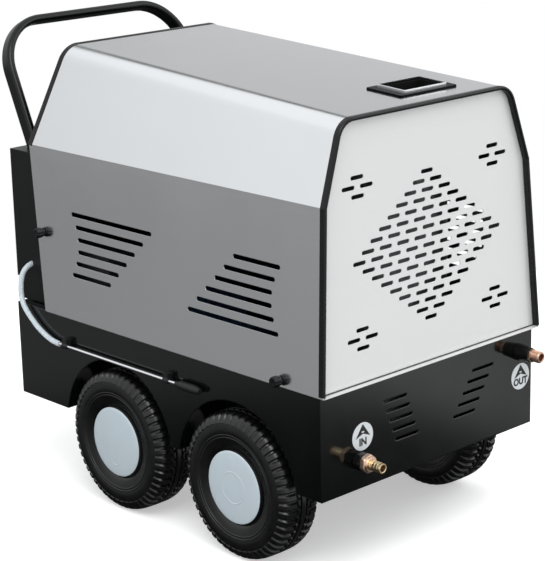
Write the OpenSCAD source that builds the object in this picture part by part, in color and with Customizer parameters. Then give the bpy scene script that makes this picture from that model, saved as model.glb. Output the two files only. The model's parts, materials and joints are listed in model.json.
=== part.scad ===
// Hot-water pressure washer on four pneumatic wheels, with a lift-off steel hood.
// Millimetres, +Z up, front towards -Y. The origin is on the floor, under the middle of the machine.

/* [Chassis] */
// Width of the chassis tray
chassis_w = 524; // [516:1:530]
// Length of the chassis tray
chassis_l = 808; // [800:2:840]
// Height of the chassis walls
chassis_h = 179; // [170:1:190]
// Clear height under the chassis
chassis_z = 157; // [150:1:164]
// Sheet thickness of the chassis
chassis_t = 2.5; // [1.5:0.5:3]
// Width of the inward rim on the chassis walls
rim_w = 18; // [12:1:24]
// Radius of the wheel arches
arch_r = 150; // [140:1:152]
// Distance from the centre plane to the inside of the wheel wells
well_x = 180; // [176:1:184]

/* [Wheels] */
// Outer radius of the tyres
wheel_r = 130; // [125:1:132]
// Section width of the tyres
tyre_w = 84; // [78:1:86]
// Thickness of the tyre wall
tyre_t = 8; // [5:1:10]
// Radius at the bead, where tyre and rim meet
bead_r = 68; // [66:0.5:72]
// Distance from the centre plane to a wheel's middle
track_half = 230; // [228:1:232]
// Distance from the chassis front to the front axle
front_axle_y = 204; // [200:1:210]
// Distance from the chassis front to the rear axle
rear_axle_y = 520; // [515:1:530]
// Radius of the axles
axle_r = 10; // [8:0.5:12]
// Radial running clearance of the wheel bushes on the axles
axle_play = 0.05; // [0.02:0.01:0.1]
// Wall of the wheel bushes
bush_t = 5; // [3:0.5:6]
// Height of the hub cap's dome
cap_dome = 4; // [2:0.5:5]

/* [Hood] */
// Gap between the chassis rim and the hood that rests on it
seat_gap = 0.3; // [0.2:0.1:0.5]
// Width of the hood at its bottom edge
hood_bottom_w = 534; // [532:1:540]
// Width of the hood at the shoulder fold
hood_shoulder_w = 492; // [490:1:500]
// Width of the hood's top at the front
hood_top_w = 404; // [400:1:420]
// Height of the lower side panels
hood_lower_h = 304; // [300:1:310]
// Height of the slanted panels at the front
hood_slant_h = 132; // [125:1:140]
// Rise of the top towards the rear, over its length
hood_rise = 46; // [30:1:50]
// Radius of the bends between the slanted panels and the top
hood_bend = 38; // [30:1:44]
// Hood sheet thickness
hood_t = 1.5; // [1:0.25:2]
// How far the hood's bottom front edge stands in front of the chassis
hood_overhang = 14; // [10:1:18]
// How far the front edge leans back over the whole front height
front_lean_run = 16; // [10:1:20]
// Distance from the chassis front to the hood's bottom rear edge
rear_bottom_y = 715; // [712:1:720]
// Distance from the chassis front to the hood's rear shoulder corner
rear_shoulder_y = 765; // [760:1:770]
// Distance from the chassis front to the hood's top rear edge
rear_top_y = 720; // [716:1:730]
// How far the front panel lies behind the trim's face
panel_recess = 12; // [10:1:22]
// Depth of the fold round the front panel
panel_fold = 14; // [8:1:16]
// Width of the trim's face
trim_face = 7; // [6:0.5:10]
// Depth of the front trim
trim_depth = 11; // [8:1:16]
// How far the trim stands proud of the sheet
trim_lip = 1.5; // [1:0.25:2]

/* [Slots] */
// Width of the side slots
side_slot_w = 8; // [4:0.5:9]
// Height between two side slots
side_slot_pitch = 22; // [20:0.2:24]
// Side slots in a group
side_slots = 6; // [3:1:6]
// Height of the top side slots above the hood's bottom edge
side_slot_top = 194; // [190:1:210]
// Slots across the middle of the front panel's diamond
diamond_n = 9; // [5:2:9]
// Distance between slots in a row of the front panel
front_pitch_x = 41; // [38:1:42]
// Distance between rows of the front panel
front_pitch_z = 15.4; // [14:0.2:16]
// Length of a front panel slot
front_slot_l = 29; // [24:1:31]
// Width of a front panel slot
front_slot_w = 7; // [4:0.5:8]
// Slots in each chassis vent
vent_n = 5; // [3:1:6]
// Length of a chassis vent slot
vent_l = 56; // [40:1:60]

/* [Flue] */
// Place of the flue's centre to the right of the middle
flue_x = 53; // [40:1:56]
// Distance from the chassis front to the flue's centre
flue_y = 92; // [90:1:96]
// Outer width of the flue rim
flue_w = 138; // [132:1:142]
// Outer depth of the flue rim
flue_d = 80; // [76:1:84]
// Width of the flue flange outside its collar, front and rear
flue_flange = 8; // [6:0.5:10]
// Width of the flue flange outside its collar, left and right
flue_flange_side = 17; // [8:0.5:20]
// Height of the rim above the hood
flue_rim_h = 8; // [5:1:10]
// Gap between the flue duct and the rim
flue_gap = 3; // [2:0.5:4]

/* [Handle] */
// Distance from the control box's sides to the legs of the handle
handle_inset = 26; // [22:1:32]
// Length of the handle above its reference height, along its slope
handle_h = 234; // [215:1:245]
// Lean of the handle
handle_lean = 24; // [20:1:26]
// Radius of the handle's bends
handle_bend = 93; // [60:1:100]
// Wide size of the oval tube
handle_tube_d = 30; // [26:1:34]
// Narrow size of the oval tube
handle_tube_w = 15; // [12:1:16]
// Wall of the oval tube
handle_tube_t = 2; // [1.5:0.5:3]
// Distance from the control box's back to the legs at the reference height
handle_setback = 38; // [33:1:43]
// Height of the reference point above the control box
handle_lift = 7; // [4:1:9]
// Length of the legs below the reference height
handle_tail = 100; // [90:1:105]

/* [Rear frame and controls] */
// Distance from the chassis front to the rear plate
plate_y = 700; // [696:1:702]
// Thickness of the rear frame's sheet
frame_t = 2.5; // [2:0.5:3]
// Gap at each side between the control box and the hood's shoulder
box_side_room = 6; // [5:0.5:10]
// Depth of the control box
box_d = 132.5; // [128:0.5:140]
// Height of the control box's underside above the chassis
box_lift = 42; // [38:1:50]
// Height of the control box
box_h = 244; // [240:1:246]
// Wall of the control box
box_t = 2; // [1.5:0.5:3]
// Thickness of the control panel
fascia_t = 6; // [4:0.5:8]
// Radius of the two large control knobs
knob_r = 24; // [20:1:26]
// Radius of the pressure gauge
gauge_r = 32; // [28:1:36]

/* [Water connections] */
// Place of the water inlet to the left of the middle
inlet_x = 178; // [170:1:182]
// Height of the water inlet
inlet_z = 208; // [204:1:214]
// How far the water inlet reaches in front of the chassis
inlet_reach = 56; // [52:1:62]
// Outer radius of the inlet's hose tail
inlet_tail_r = 8.8; // [8:0.1:10]
// Place of the outlet to the right of the middle
outlet_x = 228; // [220:1:232]
// Height of the outlet
outlet_z = 296; // [292:1:300]
// How far the outlet reaches in front of the chassis
outlet_reach = 50; // [46:1:52]
// Outer radius of the outlet's thread
outlet_r = 10.5; // [9.5:0.1:11]
// Radius of the two round marker plates
marker_r = 24; // [22:1:27]

/* [Detergent suction] */
// Outer radius of the suction hose
hose_r = 5; // [4.5:0.5:7]
// Wall of the suction hose
hose_t = 1.5; // [1:0.25:2]
// Radius of the suction tube
tube_r = 3; // [3:0.25:5]
// Gap between the chassis and the axis of the suction tube
tube_off = 9; // [8:0.5:12]
// Height of the suction tube
tube_z = 283; // [280:1:292]

/* [Machinery] */
// Radius of the boiler
boiler_r = 145; // [135:1:146]
// Height of the boiler's top
boiler_top = 690; // [670:5:695]
// Place of the boiler to the right of the middle
boiler_x = 30; // [26:1:31]
// Distance from the chassis front to the boiler's axis
boiler_y = 186; // [184:1:190]
// Height of the boiler's feet
boiler_foot = 15; // [10:1:20]
// Wall of the boiler
boiler_t = 3; // [2:0.5:4]
// Turns of the heating coil
coil_turns = 14; // [8:1:18]
// Radius of the coil's pipe
coil_pipe_r = 9; // [7:0.5:10]
// Radius of the motor
motor_r = 80; // [70:1:82]
// Place of the motor's axis to the left of the middle
motor_x = 60; // [56:1:64]
// Height of the motor's axis
motor_z = 262; // [258:1:270]
// Radius of the motor shaft
shaft_r = 12; // [10:0.5:14]
// Radial running clearance of the shaft
shaft_play = 0.05; // [0.02:0.01:0.1]
// Radius of the fuel tank's neck
neck_r = 22; // [18:1:24]

/* [Hidden] */
$fn = 64;

// Overlap used only where one shape cuts or joins another of the same node
eps = 0.5;
// Length that reaches past the whole machine
far = 1200;
// Gap between fixed pieces that are only laid together
fit_gap = 0.3;
left = -1;
right = 1;

// Heights and half widths of the chassis
chassis_top = chassis_z + chassis_h;
half_w = chassis_w / 2;
inner_half = half_w - chassis_t;
floor_top = chassis_z + chassis_t;

// The hood's outline
hood_z = chassis_top + seat_gap;
shoulder_z = hood_z + hood_lower_h;
top_z = shoulder_z + hood_slant_h;
front_h = hood_lower_h + hood_slant_h;
front_lean = front_lean_run / front_h;
front_angle = atan(front_lean);
front_top_y = front_lean_run - hood_overhang;
roof_slope = hood_rise / (rear_top_y - front_top_y);
roof_angle = atan(roof_slope);
lower_taper = (hood_bottom_w - hood_shoulder_w) / 2 / hood_lower_h;
slant_taper = (hood_shoulder_w - hood_top_w) / 2 / hood_slant_h;
roof_top = top_z + hood_rise;
function front_y(z) = -hood_overhang + (z - hood_z) * front_lean;
function roof_z(y) = top_z + (y - front_top_y) * roof_slope;
slant_out = [cos(atan(slant_taper)), 0, sin(atan(slant_taper))];
roof_out = [0, -sin(roof_angle), cos(roof_angle)];
bend_angle = acos(slant_out * roof_out);
// Flat steps round each of the two long bends
bend_steps = 3;
function hood_half(z) = z < shoulder_z
  ? hood_bottom_w / 2 - (z - hood_z) * lower_taper
  : hood_shoulder_w / 2 - (z - shoulder_z) * slant_taper;

// The control box's place
box_w = hood_shoulder_w - 2 * box_side_room;
box_z = chassis_top + box_lift;
box_top = box_z + box_h;
box_front_y = plate_y + frame_t;
box_back_y = box_front_y + box_d;
foot_back = box_back_y - 9;

// The handle and the whole length, which give the origin
handle_half = box_w / 2 - handle_inset;
handle_y = box_back_y - handle_setback;
handle_z = box_top + handle_lift;
handle_top_y = handle_y + handle_h * sin(handle_lean);
rear_reach = handle_top_y + (handle_tube_d - handle_tube_w) / 2 * cos(handle_lean) + handle_tube_w / 2;
front_reach = max(inlet_reach, outlet_reach);
y_origin = (front_reach - rear_reach) / 2;

// The control panel
fascia_y = box_back_y + fascia_t;
fascia_margin = 6;
fascia_top_gap = 28;
upper_row = box_z + 0.66 * box_h;
lower_row = box_z + 0.27 * box_h;
control_x = 120;

// Knobs that hold the hood: distance from the chassis front, height and the bracket's outer face
front_knob = [87, chassis_top + 11];
rear_knob = [722, chassis_top + 148];
stud_r = 4;
stud_slot = 4.6;
bracket_w = 28;
bracket_t = 3;
knob_stand = 4;
knob_head_r = 9.5;
knob_head_l = 13.5;
bracket_room = 3;
rear_bracket_x = box_w / 2 + bracket_room + bracket_t;

// The side tube's line and the hose's route, with points chosen by hand
tube_x = -(half_w + tube_off);
tube_start_y = 342;
tube_end_y = 672;
clip_y = [tube_start_y + 26, tube_end_y - 18];
clip_half = 6;
filter_y = tube_start_y - 62;
hose_route = [
  [-box_w / 2, 787.5, 408.5], [-249, 788, 405], [-257, 788.5, 398.5], [-263, 788.5, 389],
  [-267, 787.5, 375.5], [-269, 786, 361], [-270, 783, 348], [tube_x, 776, 335.5],
  [tube_x, 766, 324.5], [tube_x, 753, 314], [tube_x, 740, 304.5], [tube_x, 724, 296],
  [tube_x, 707, 289], [tube_x, 690, 284.5], [tube_x, tube_end_y, tube_z]
];
hose_sides = 12;
hose_steps = 3;

// The wheels
tread_half = tyre_w * 0.34;
rim_half = tyre_w / 2 - 12;
hub_r = axle_r + bush_t;
hub_wall = 5;
bush_l = 14;
hub_in = -24;
hub_out = 20;
rim_t = 3;
axle_end = track_half + hub_out + 6;
washer_t = 2.5;
clamp_x = 150;

// The machinery
motor_front_y = 396;
motor_back_y = 560;
fan_cover_y = 356;
bell_y = 580;
crank_end_y = 650;
pump_end_y = 690;
tank_side_gap = 11;
tank_x = [62, hood_shoulder_w / 2 - tank_side_gap];
tank_y = plate_y - 314;
tank_z = [chassis_top - 53, chassis_top + 262];
neck_x = 150;
neck_z = hood_z + 330;
neck_y = plate_y - 45;
neck_end_y = plate_y + 24;
float_side_gap = 27;
float_l = 140;
float_drop = 36;
float_h = 160;

module place() {
  translate([0, y_origin, 0]) children();
}

module both_sides() {
  children();
  mirror([1, 0, 0]) children();
}

module rod_x(r, x0, x1, y, z, r2 = -1) {
  translate([x0, y, z]) rotate([0, 90, 0]) cylinder(h = x1 - x0, r1 = r, r2 = r2 < 0 ? r : r2);
}

module rod_y(r, y0, y1, x, z, r2 = -1) {
  translate([x, y1, z]) rotate([90, 0, 0]) cylinder(h = y1 - y0, r1 = r2 < 0 ? r : r2, r2 = r);
}

module block(low, high) {
  translate(low) cube(high - low);
}

// A round-ended slot of a given overall length, lying along the first axis
module slot_2d(length, width) {
  square([length - width, width], center = true);
  translate([(length - width) / 2, 0]) circle(d = width, $fn = 24);
  translate([-(length - width) / 2, 0]) circle(d = width, $fn = 24);
}

module slot_through_side(y0, y1, z) {
  translate([half_w - 60, (y0 + y1) / 2, z]) rotate([90, 0, 90])
    linear_extrude(120) slot_2d(y1 - y0, side_slot_w);
}

// ---- Hood outline ----

module along_y(y0, y1) {
  translate([0, y1, 0]) rotate([90, 0, 0]) linear_extrude(y1 - y0) children();
}

module along_x() {
  translate([-far / 2, 0, 0]) rotate([90, 0, 90]) linear_extrude(far) children();
}

// The section across the hood, grown or shrunk sideways, and open upwards past the roof
module hood_section(grow, z_low) {
  z_high = roof_top + 30;
  a = hood_half(z_low) + grow;
  b = hood_shoulder_w / 2 + grow;
  c = hood_half(z_high) + grow;
  polygon([[-a, z_low], [a, z_low], [b, shoulder_z], [c, z_high], [-c, z_high], [-b, shoulder_z]]);
}

// The band between two roof lines, from y0 to y1
module under_roof(grow, y0, y1, z_low) {
  polygon([[y0, z_low], [y0, roof_z(y0) + grow], [y1, roof_z(y1) + grow], [y1, z_low]]);
}

module hood_side_outline() {
  polygon([
    [front_y(hood_z), hood_z], [front_top_y, top_z], [rear_top_y, roof_top],
    [rear_shoulder_y, shoulder_z], [rear_bottom_y, hood_z]
  ]);
}

// What lies outside the flat steps between the right slanted panel and the top
module outside_bend(grow) {
  corner = [hood_half(top_z + grow) + grow, front_top_y, top_z + grow];
  for (i = [1 : bend_steps]) let (
      turn = bend_angle * i / (bend_steps + 1),
      p = sin(bend_angle - turn) / sin(bend_angle),
      q = sin(turn) / sin(bend_angle),
      out = p * slant_out + q * roof_out)
    translate(corner - out * (hood_bend + grow) * (p + q - 1))
      rotate(a = acos(out[2]), v = cross([0, 0, 1], out))
        translate([-far, -far, 0]) cube([2 * far, 2 * far, 100]);
}

module hood_solid(grow, z_low) {
  difference() {
    intersection() {
      along_y(-200, 900) hood_section(grow, z_low);
      along_x() under_roof(grow, -200, 900, z_low - eps);
    }
    both_sides() outside_bend(grow);
  }
}

module hood_sheet() {
  difference() {
    intersection() {
      along_y(-200, 900) hood_section(0, hood_z);
      along_x() hood_side_outline();
    }
    both_sides() outside_bend(0);
    hood_solid(-hood_t, hood_z - 2);
    // the trim's web lies in front of the sheet
    along_x() polygon([
      [-200, hood_z - 10], [front_y(hood_z - 10) + 2, hood_z - 10],
      [front_y(roof_top) + 2, roof_top], [-200, roof_top]
    ]);
  }
}

module side_slots_cut() {
  n = side_slots - 1;
  for (i = [0 : n]) {
    z = hood_z + side_slot_top - i * side_slot_pitch;
    // the rear end of the front group and the front end of the rear one step back row by row;
    // the outer ends follow a shallow arc
    bow = 72 / (n * n) * i * (n - i);
    slot_through_side(94 + bow, 206 + 110 * i / n, z);
    slot_through_side(414 + 109 * i / n, 638 - i - bow, z);
  }
}

module flue_place(z) {
  translate([flue_x, flue_y, roof_z(flue_y)]) rotate([roof_angle, 0, 0]) translate([0, 0, z]) children();
}

module flue_collar(clearance) {
  linear_extrude(4 * flue_rim_h, center = true)
    square([flue_w - 2 * flue_flange_side + clearance, flue_d - 2 * flue_flange + clearance], center = true);
}

module hood_fold() {
  fold = 17;
  fold_end = plate_y - 10;
  notch = bracket_w + 8;
  difference() {
    block([hood_bottom_w / 2 - hood_t - fold, front_y(hood_z) + 2, hood_z],
          [hood_bottom_w / 2 - hood_t / 2, fold_end, hood_z + hood_t]);
    block([0, front_knob[0] - notch / 2, 0], [far, front_knob[0] + notch / 2, far]);
    block([0, -100, 0], [far, front_y(hood_z) + panel_recess + panel_fold + 4, far]);
  }
}

module hood_shell() {
  color("silver") place() difference() {
    union() {
      hood_sheet();
      both_sides() hood_fold();
    }
    both_sides() side_slots_cut();
    flue_place(0) flue_collar(0.2);
    both_sides() rod_x(stud_r + 0.6, half_w - 40, far / 2, front_knob[0], front_knob[1]);
    both_sides() rod_x(stud_r + 0.6, half_w - 40, far / 2, rear_knob[0], rear_knob[1]);
  }
}

// ---- Front panel ----

module diamond_slots(n) {
  for (row = [-(n - 1) : n - 1]) {
    count = n - abs(row);
    for (i = [0 : count - 1])
      translate([(i - (count - 1) / 2) * front_pitch_x, row * front_pitch_z])
        slot_2d(front_slot_l, front_slot_w);
  }
}

module panel_slots() {
  middle = 199;
  translate([0, middle]) diamond_slots(diamond_n);
  for (sx = [left, right], corner = [[162.5, 75], [162.5, 323]])
    translate([sx * corner[0], corner[1]]) diamond_slots(2);
}

// Draws on the panel's leaning face, and makes it that thick towards the rear
module on_panel(thick) {
  translate([0, front_y(hood_z) + panel_recess, hood_z]) rotate([90 - front_angle, 0, 0])
    translate([0, 0, -thick]) linear_extrude(thick) children();
}

module front_panel() {
  lip = panel_recess + hood_t - 1.2;
  inside = -hood_t - fit_gap;
  color("gainsboro") place() {
    intersection() {
      on_panel(hood_t) difference() {
        translate([-far / 2, 0]) square([far, far]);
        panel_slots();
      }
      hood_solid(inside, hood_z);
    }
    difference() {
      intersection() {
        on_panel(panel_fold) translate([-far / 2, 20]) square([far, far]);
        hood_solid(inside, hood_z);
      }
      hood_solid(inside - hood_t, hood_z - eps);
    }
    block([-hood_bottom_w / 2 + hood_t + 1, front_y(hood_z) + 1, hood_z],
          [hood_bottom_w / 2 - hood_t - 1, front_y(hood_z) + 1 + lip, hood_z + hood_t]);
  }
}

// ---- Trim ----

module front_trim() {
  start = 3.5;
  color("darkslategray") place() difference() {
    intersection() {
      hood_solid(trim_lip, hood_z + start);
      along_x() polygon([
        [front_y(hood_z), hood_z], [front_y(roof_top), roof_top],
        [front_y(roof_top) + trim_depth, roof_top], [front_y(hood_z) + trim_depth, hood_z]
      ]);
    }
    hood_solid(-(trim_face - trim_lip), hood_z - eps);
    hood_sheet();
  }
}

module rear_trim() {
  proud = 3;
  depth = 8;
  color("darkslategray") place() difference() {
    intersection() {
      hood_solid(trim_lip, shoulder_z);
      along_x() polygon([
        [rear_shoulder_y + proud, shoulder_z], [rear_top_y + proud, roof_top + 5],
        [rear_top_y - depth, roof_top + 5], [rear_shoulder_y - depth, shoulder_z]
      ]);
    }
    hood_solid(-4, shoulder_z - eps);
    hood_sheet();
  }
}

module flue_rim() {
  wall = 2;
  color("dimgray") place() flue_place(0) difference() {
    union() {
      linear_extrude(3) square([flue_w, flue_d], center = true);
      translate([0, 0, -flue_rim_h]) linear_extrude(2 * flue_rim_h)
        square([flue_w - 2 * flue_flange_side, flue_d - 2 * flue_flange], center = true);
    }
    translate([0, 0, -far / 2]) linear_extrude(far)
      square([flue_w - 2 * flue_flange_side - 2 * wall, flue_d - 2 * flue_flange - 2 * wall], center = true);
  }
}

// ---- Hood knobs ----

module hood_knob(side, spot) {
  surface = hood_half(spot[1]);
  inner = spot[0] > chassis_l / 2 ? box_w / 2 + bracket_room : half_w - 9;
  color("black") place() mirror([side == left ? 1 : 0, 0, 0]) {
    rod_x(stud_r, inner, surface + knob_stand, spot[0], spot[1]);
    rod_x(stud_r + 4, surface + 1, surface + 4, spot[0], spot[1]);
    rod_x(stud_r + 2.5, surface + 3, surface + knob_stand, spot[0], spot[1]);
    rod_x(knob_head_r, surface + knob_stand, surface + knob_stand + knob_head_l, spot[0], spot[1]);
  }
}

// A bracket with a slot that is open at the top, so the knob's stud lifts out of it
module stud_bracket(x_out, spot, z_low, y_low) {
  difference() {
    block([x_out - bracket_t, y_low, z_low],
          [x_out, spot[0] + bracket_w / 2, spot[1] + 12]);
    rod_x(stud_slot, x_out - 20, x_out + 20, spot[0], spot[1]);
    block([x_out - 20, spot[0] - stud_slot, spot[1]], [x_out + 20, spot[0] + stud_slot, spot[1] + 40]);
  }
}

// ---- Chassis ----

module wheel_drum(r, x0, x1) {
  for (y = [front_axle_y, rear_axle_y]) both_sides() rod_x(r, x0, x1, y, wheel_r);
}

module vent(x0, step) {
  for (i = [0 : vent_n - 1])
    translate([x0 + step * i + vent_l / 2, chassis_t + 5, chassis_top - 45 - 18 * i]) rotate([90, 0, 0])
      linear_extrude(chassis_t + 10) slot_2d(vent_l, 5);
}

module chassis() {
  color([0.08, 0.08, 0.09]) place() difference() {
    union() {
      difference() {
        block([-half_w, 0, chassis_z], [half_w, chassis_l, chassis_top]);
        block([-inner_half, chassis_t, floor_top], [inner_half, chassis_l - chassis_t, far]);
      }
      difference() {
        block([-half_w, 0, chassis_top - chassis_t], [half_w, chassis_l, chassis_top]);
        block([-half_w + rim_w, rim_w, 0], [half_w - rim_w, chassis_l - rim_w, far]);
      }
      intersection() {
        wheel_drum(arch_r + chassis_t, well_x - chassis_t, half_w);
        block([-half_w, 0, chassis_z], [half_w, chassis_l, chassis_top]);
      }
      both_sides() stud_bracket(inner_half + eps, front_knob, chassis_top - 14, front_knob[0] - bracket_w / 2);
    }
    wheel_drum(arch_r, well_x, half_w + 20);
    vent(103, -12);
    vent(-117, 7);
    rod_y(9, -eps, 2 * chassis_t, -inlet_x, inlet_z);
    rod_y(11, -eps, 2 * chassis_t, outlet_x, outlet_z);
  }
}

// ---- Axles and wheels ----

module axles() {
  color("gray") place() for (y = [front_axle_y, rear_axle_y]) rod_x(axle_r, -axle_end, axle_end, y, wheel_r);
}

module axle_clamps() {
  color("dimgray") place() for (y = [front_axle_y, rear_axle_y]) both_sides() difference() {
    block([clamp_x - 16, y - 24, wheel_r - axle_r - 6], [clamp_x + 16, y + 24, chassis_z]);
    rod_x(axle_r + axle_play, clamp_x - 20, clamp_x + 20, y, wheel_r);
  }
}

module axle_washers() {
  x0 = track_half + hub_out + fit_gap;
  color("silver") place() for (y = [front_axle_y, rear_axle_y]) both_sides() difference() {
    rod_x(axle_r + 8, x0, x0 + washer_t, y, wheel_r);
    rod_x(axle_r, x0 - 1, x0 + washer_t + 1, y, wheel_r);
  }
}

// Turns a profile drawn as radius and offset from the wheel's middle into a wheel part
module wheel_place(side, y) {
  place() translate([side * track_half, y, wheel_r]) rotate([0, side * 90, 0]) children();
}

module tyre(side, y) {
  w = tyre_w / 2;
  color([0.07, 0.07, 0.08]) wheel_place(side, y) rotate_extrude($fn = 96) polygon([
    [wheel_r, -tread_half], [wheel_r, tread_half], [wheel_r - 7, w - 4], [wheel_r - 20, w - 0.5],
    [wheel_r - 32, w], [wheel_r - 46, w - 2.5], [bead_r + 5, w - 6], [bead_r, rim_half + 4],
    [bead_r, rim_half - tyre_t], [bead_r + 8, rim_half - tyre_t], [wheel_r - 46, w - 2.5 - tyre_t],
    [wheel_r - 22, w - tyre_t], [wheel_r - tyre_t - 4, tread_half], [wheel_r - tyre_t - 4, -tread_half],
    [wheel_r - 22, tyre_t - w], [wheel_r - 46, 2.5 + tyre_t - w], [bead_r + 8, tyre_t - rim_half],
    [bead_r, tyre_t - rim_half], [bead_r, -rim_half - 4], [bead_r + 5, 6 - w], [wheel_r - 46, 2.5 - w],
    [wheel_r - 32, -w], [wheel_r - 20, 0.5 - w], [wheel_r - 7, 4 - w]
  ]);
}

module rim(side, y) {
  web = 2;
  color([0.2, 0.2, 0.21]) wheel_place(side, y) {
    rotate_extrude($fn = 96) union() {
      translate([bead_r - rim_t, -rim_half]) square([rim_t, 2 * rim_half]);
      translate([hub_r, web]) square([bead_r - rim_t - hub_r + eps, rim_t]);
      translate([hub_r, hub_in]) square([hub_wall, hub_out - hub_in]);
    }
    for (end = [hub_in, hub_out - bush_l]) rotate_extrude() translate([axle_r + axle_play, end])
      square([bush_t - axle_play, bush_l]);
  }
}

module hub_cap(side, y) {
  edge = tyre_w / 2 - 3;
  skirt_r = bead_r - rim_t;
  wall = 2.5;
  bend_r = 0.7 * skirt_r;
  flat_r = 0.35 * skirt_r;
  skirt_in = rim_half - 12;
  color([0.74, 0.77, 0.79]) wheel_place(side, y) rotate_extrude($fn = 96) polygon([
    [skirt_r - wall, skirt_in], [skirt_r, skirt_in], [skirt_r, edge - 3], [skirt_r - 2, edge],
    [bend_r, edge + cap_dome * 0.7], [flat_r, edge + cap_dome], [0, edge + cap_dome],
    [0, edge + cap_dome - wall], [flat_r, edge + cap_dome - wall],
    [bend_r, edge + cap_dome * 0.7 - wall], [skirt_r - wall, edge - 1 - wall]
  ]);
}

// ---- Rear frame and controls ----

module rear_plate() {
  gap = 3;
  intersection() {
    block([-half_w, plate_y, chassis_top], [half_w, plate_y + frame_t, far]);
    hood_solid(-hood_t - gap, chassis_top - eps);
  }
}

module handle_place() {
  translate([0, handle_y, handle_z]) rotate([-handle_lean, 0, 0]) children();
}

module oval_2d(inset) {
  w = handle_tube_w - 2 * inset;
  d = handle_tube_d - 2 * inset;
  square([w, d - w], center = true);
  for (s = [-1, 1]) translate([0, s * (d - w) / 2]) circle(d = w, $fn = 32);
}

module handle_leg(grow, bottom) {
  translate([handle_half, 0, -bottom]) linear_extrude(handle_h - handle_bend + bottom) oval_2d(-grow);
}

module handle_path(inset, bottom) {
  both_sides() {
    handle_leg(-inset, bottom);
    translate([handle_half - handle_bend, 0, handle_h - handle_bend]) rotate([90, 0, 0])
      rotate_extrude(angle = 90, $fn = 96) translate([handle_bend, 0]) oval_2d(inset);
  }
  translate([-(handle_half - handle_bend), 0, handle_h]) rotate([0, 90, 0])
    linear_extrude(2 * (handle_half - handle_bend)) oval_2d(inset);
}

module handle() {
  color([0.1, 0.1, 0.11]) place() handle_place() difference() {
    handle_path(0, handle_tail);
    handle_path(handle_tube_t, handle_tail + 1);
    both_sides() rod_x(4, handle_half - 20, handle_half + 20, 0, -handle_tail + 14);
  }
}

module socket_body() {
  foot = handle_tube_d;
  both_sides() difference() {
    intersection() {
      handle_place() block([handle_half - 16, -90, -handle_tail - 4], [handle_half + 16, foot, -handle_tail + 30]);
      block([0, box_front_y - 1, 0], [far, far, far]);
    }
    handle_place() handle_leg(0.3, handle_tail + 0.3);
    handle_place() rod_x(4, handle_half - 20, handle_half + 20, 0, -handle_tail + 14);
  }
}

module rear_frame() {
  foot_half = box_w / 2;
  color([0.09, 0.09, 0.1]) place() {
    difference() {
      union() {
        rear_plate();
        difference() {
          block([-foot_half, plate_y, chassis_top], [foot_half, foot_back, box_z]);
          block([-foot_half + frame_t, plate_y + frame_t, 0], [foot_half - frame_t, foot_back - frame_t, box_z - frame_t]);
        }
        both_sides() stud_bracket(rear_bracket_x, rear_knob, rear_knob[1] - 16, plate_y + eps);
      }
      rod_y(neck_r + fit_gap, 0, far, neck_x, neck_z);
      rod_y(8, foot_back - 10, far, 160, chassis_top + 20);
    }
    socket_body();
  }
}

module handle_bolts() {
  color("silver") place() handle_place() both_sides() {
    rod_x(3.95, handle_half - 20, handle_half + 20, 0, -handle_tail + 14);
    translate([handle_half + 16, 0, -handle_tail + 14]) rotate([0, 90, 0]) cylinder(h = 5, r = 7.5, $fn = 6);
    translate([handle_half - 22, 0, -handle_tail + 14]) rotate([0, 90, 0]) cylinder(h = 6, r = 7.5, $fn = 6);
  }
}

module control_box() {
  b = box_w / 2;
  window = 14;
  color([0.12, 0.12, 0.13]) place() difference() {
    block([-b, box_front_y, box_z], [b, box_back_y, box_top]);
    block([-b + box_t, 0, box_z + box_t], [b - box_t, box_back_y - box_t, box_top - box_t]);
    block([-b + window, 0, box_z + window], [b - window, far, box_top - window - fascia_top_gap]);
    handle_place() both_sides() handle_leg(1.5, 0);
    handle_place() both_sides() handle_leg(1.5, handle_tail);
  }
}

module control_panel() {
  b = box_w / 2 - fascia_margin;
  color([0.16, 0.16, 0.17]) place() difference() {
    block([-b, box_back_y, box_z + fascia_margin], [b, fascia_y, box_top - fascia_top_gap]);
    rod_y(gauge_r, 0, far, control_x, upper_row);
    for (x = [-control_x, 0]) rod_y(5.2, 0, far, x, upper_row);
    rod_y(5.2, 0, far, -control_x, lower_row);
    for (i = [0 : 2]) rod_y(7, 0, far, control_x - 40 + 40 * i, lower_row);
  }
}

module control_knob(x, z, r) {
  color("black") place() {
    rod_y(5.1, fascia_y - fascia_t - 12, fascia_y + 4, x, z);
    rod_y(r, fascia_y + 1, fascia_y + 5, x, z, r);
    rod_y(r * 0.82, fascia_y + 5, fascia_y + 14, x, z, r * 0.76);
    block([x - 3.5, fascia_y + 14 - 1, z - r * 0.7], [x + 3.5, fascia_y + 20, z + r * 0.7]);
  }
}

module gauge_case() {
  color("silver") place() difference() {
    union() {
      rod_y(gauge_r - 0.1, box_back_y - 22, fascia_y, control_x, upper_row);
      rod_y(gauge_r + 4, fascia_y, fascia_y + 8, control_x, upper_row);
      rod_y(6, box_back_y - 40, box_back_y - 20, control_x, upper_row);
    }
    rod_y(gauge_r - 3, fascia_y - 8, fascia_y + 20, control_x, upper_row);
    rod_y(2.05, fascia_y - 14, fascia_y, control_x, upper_row);
  }
}

module gauge_needle() {
  color("red") place() {
    rod_y(2, fascia_y - 13, fascia_y - 2, control_x, upper_row);
    translate([control_x, 0, upper_row]) rotate([0, 225, 0])
      block([-1.2, fascia_y - 5, -6], [1.2, fascia_y - 3.5, gauge_r - 8]);
    rod_y(4, fascia_y - 5, fascia_y - 2, control_x, upper_row);
  }
}

module gauge_lens() {
  color([0.8, 0.9, 0.95, 0.4]) place() rod_y(gauge_r - 3, fascia_y + 1, fascia_y + 4, control_x, upper_row);
}

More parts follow.
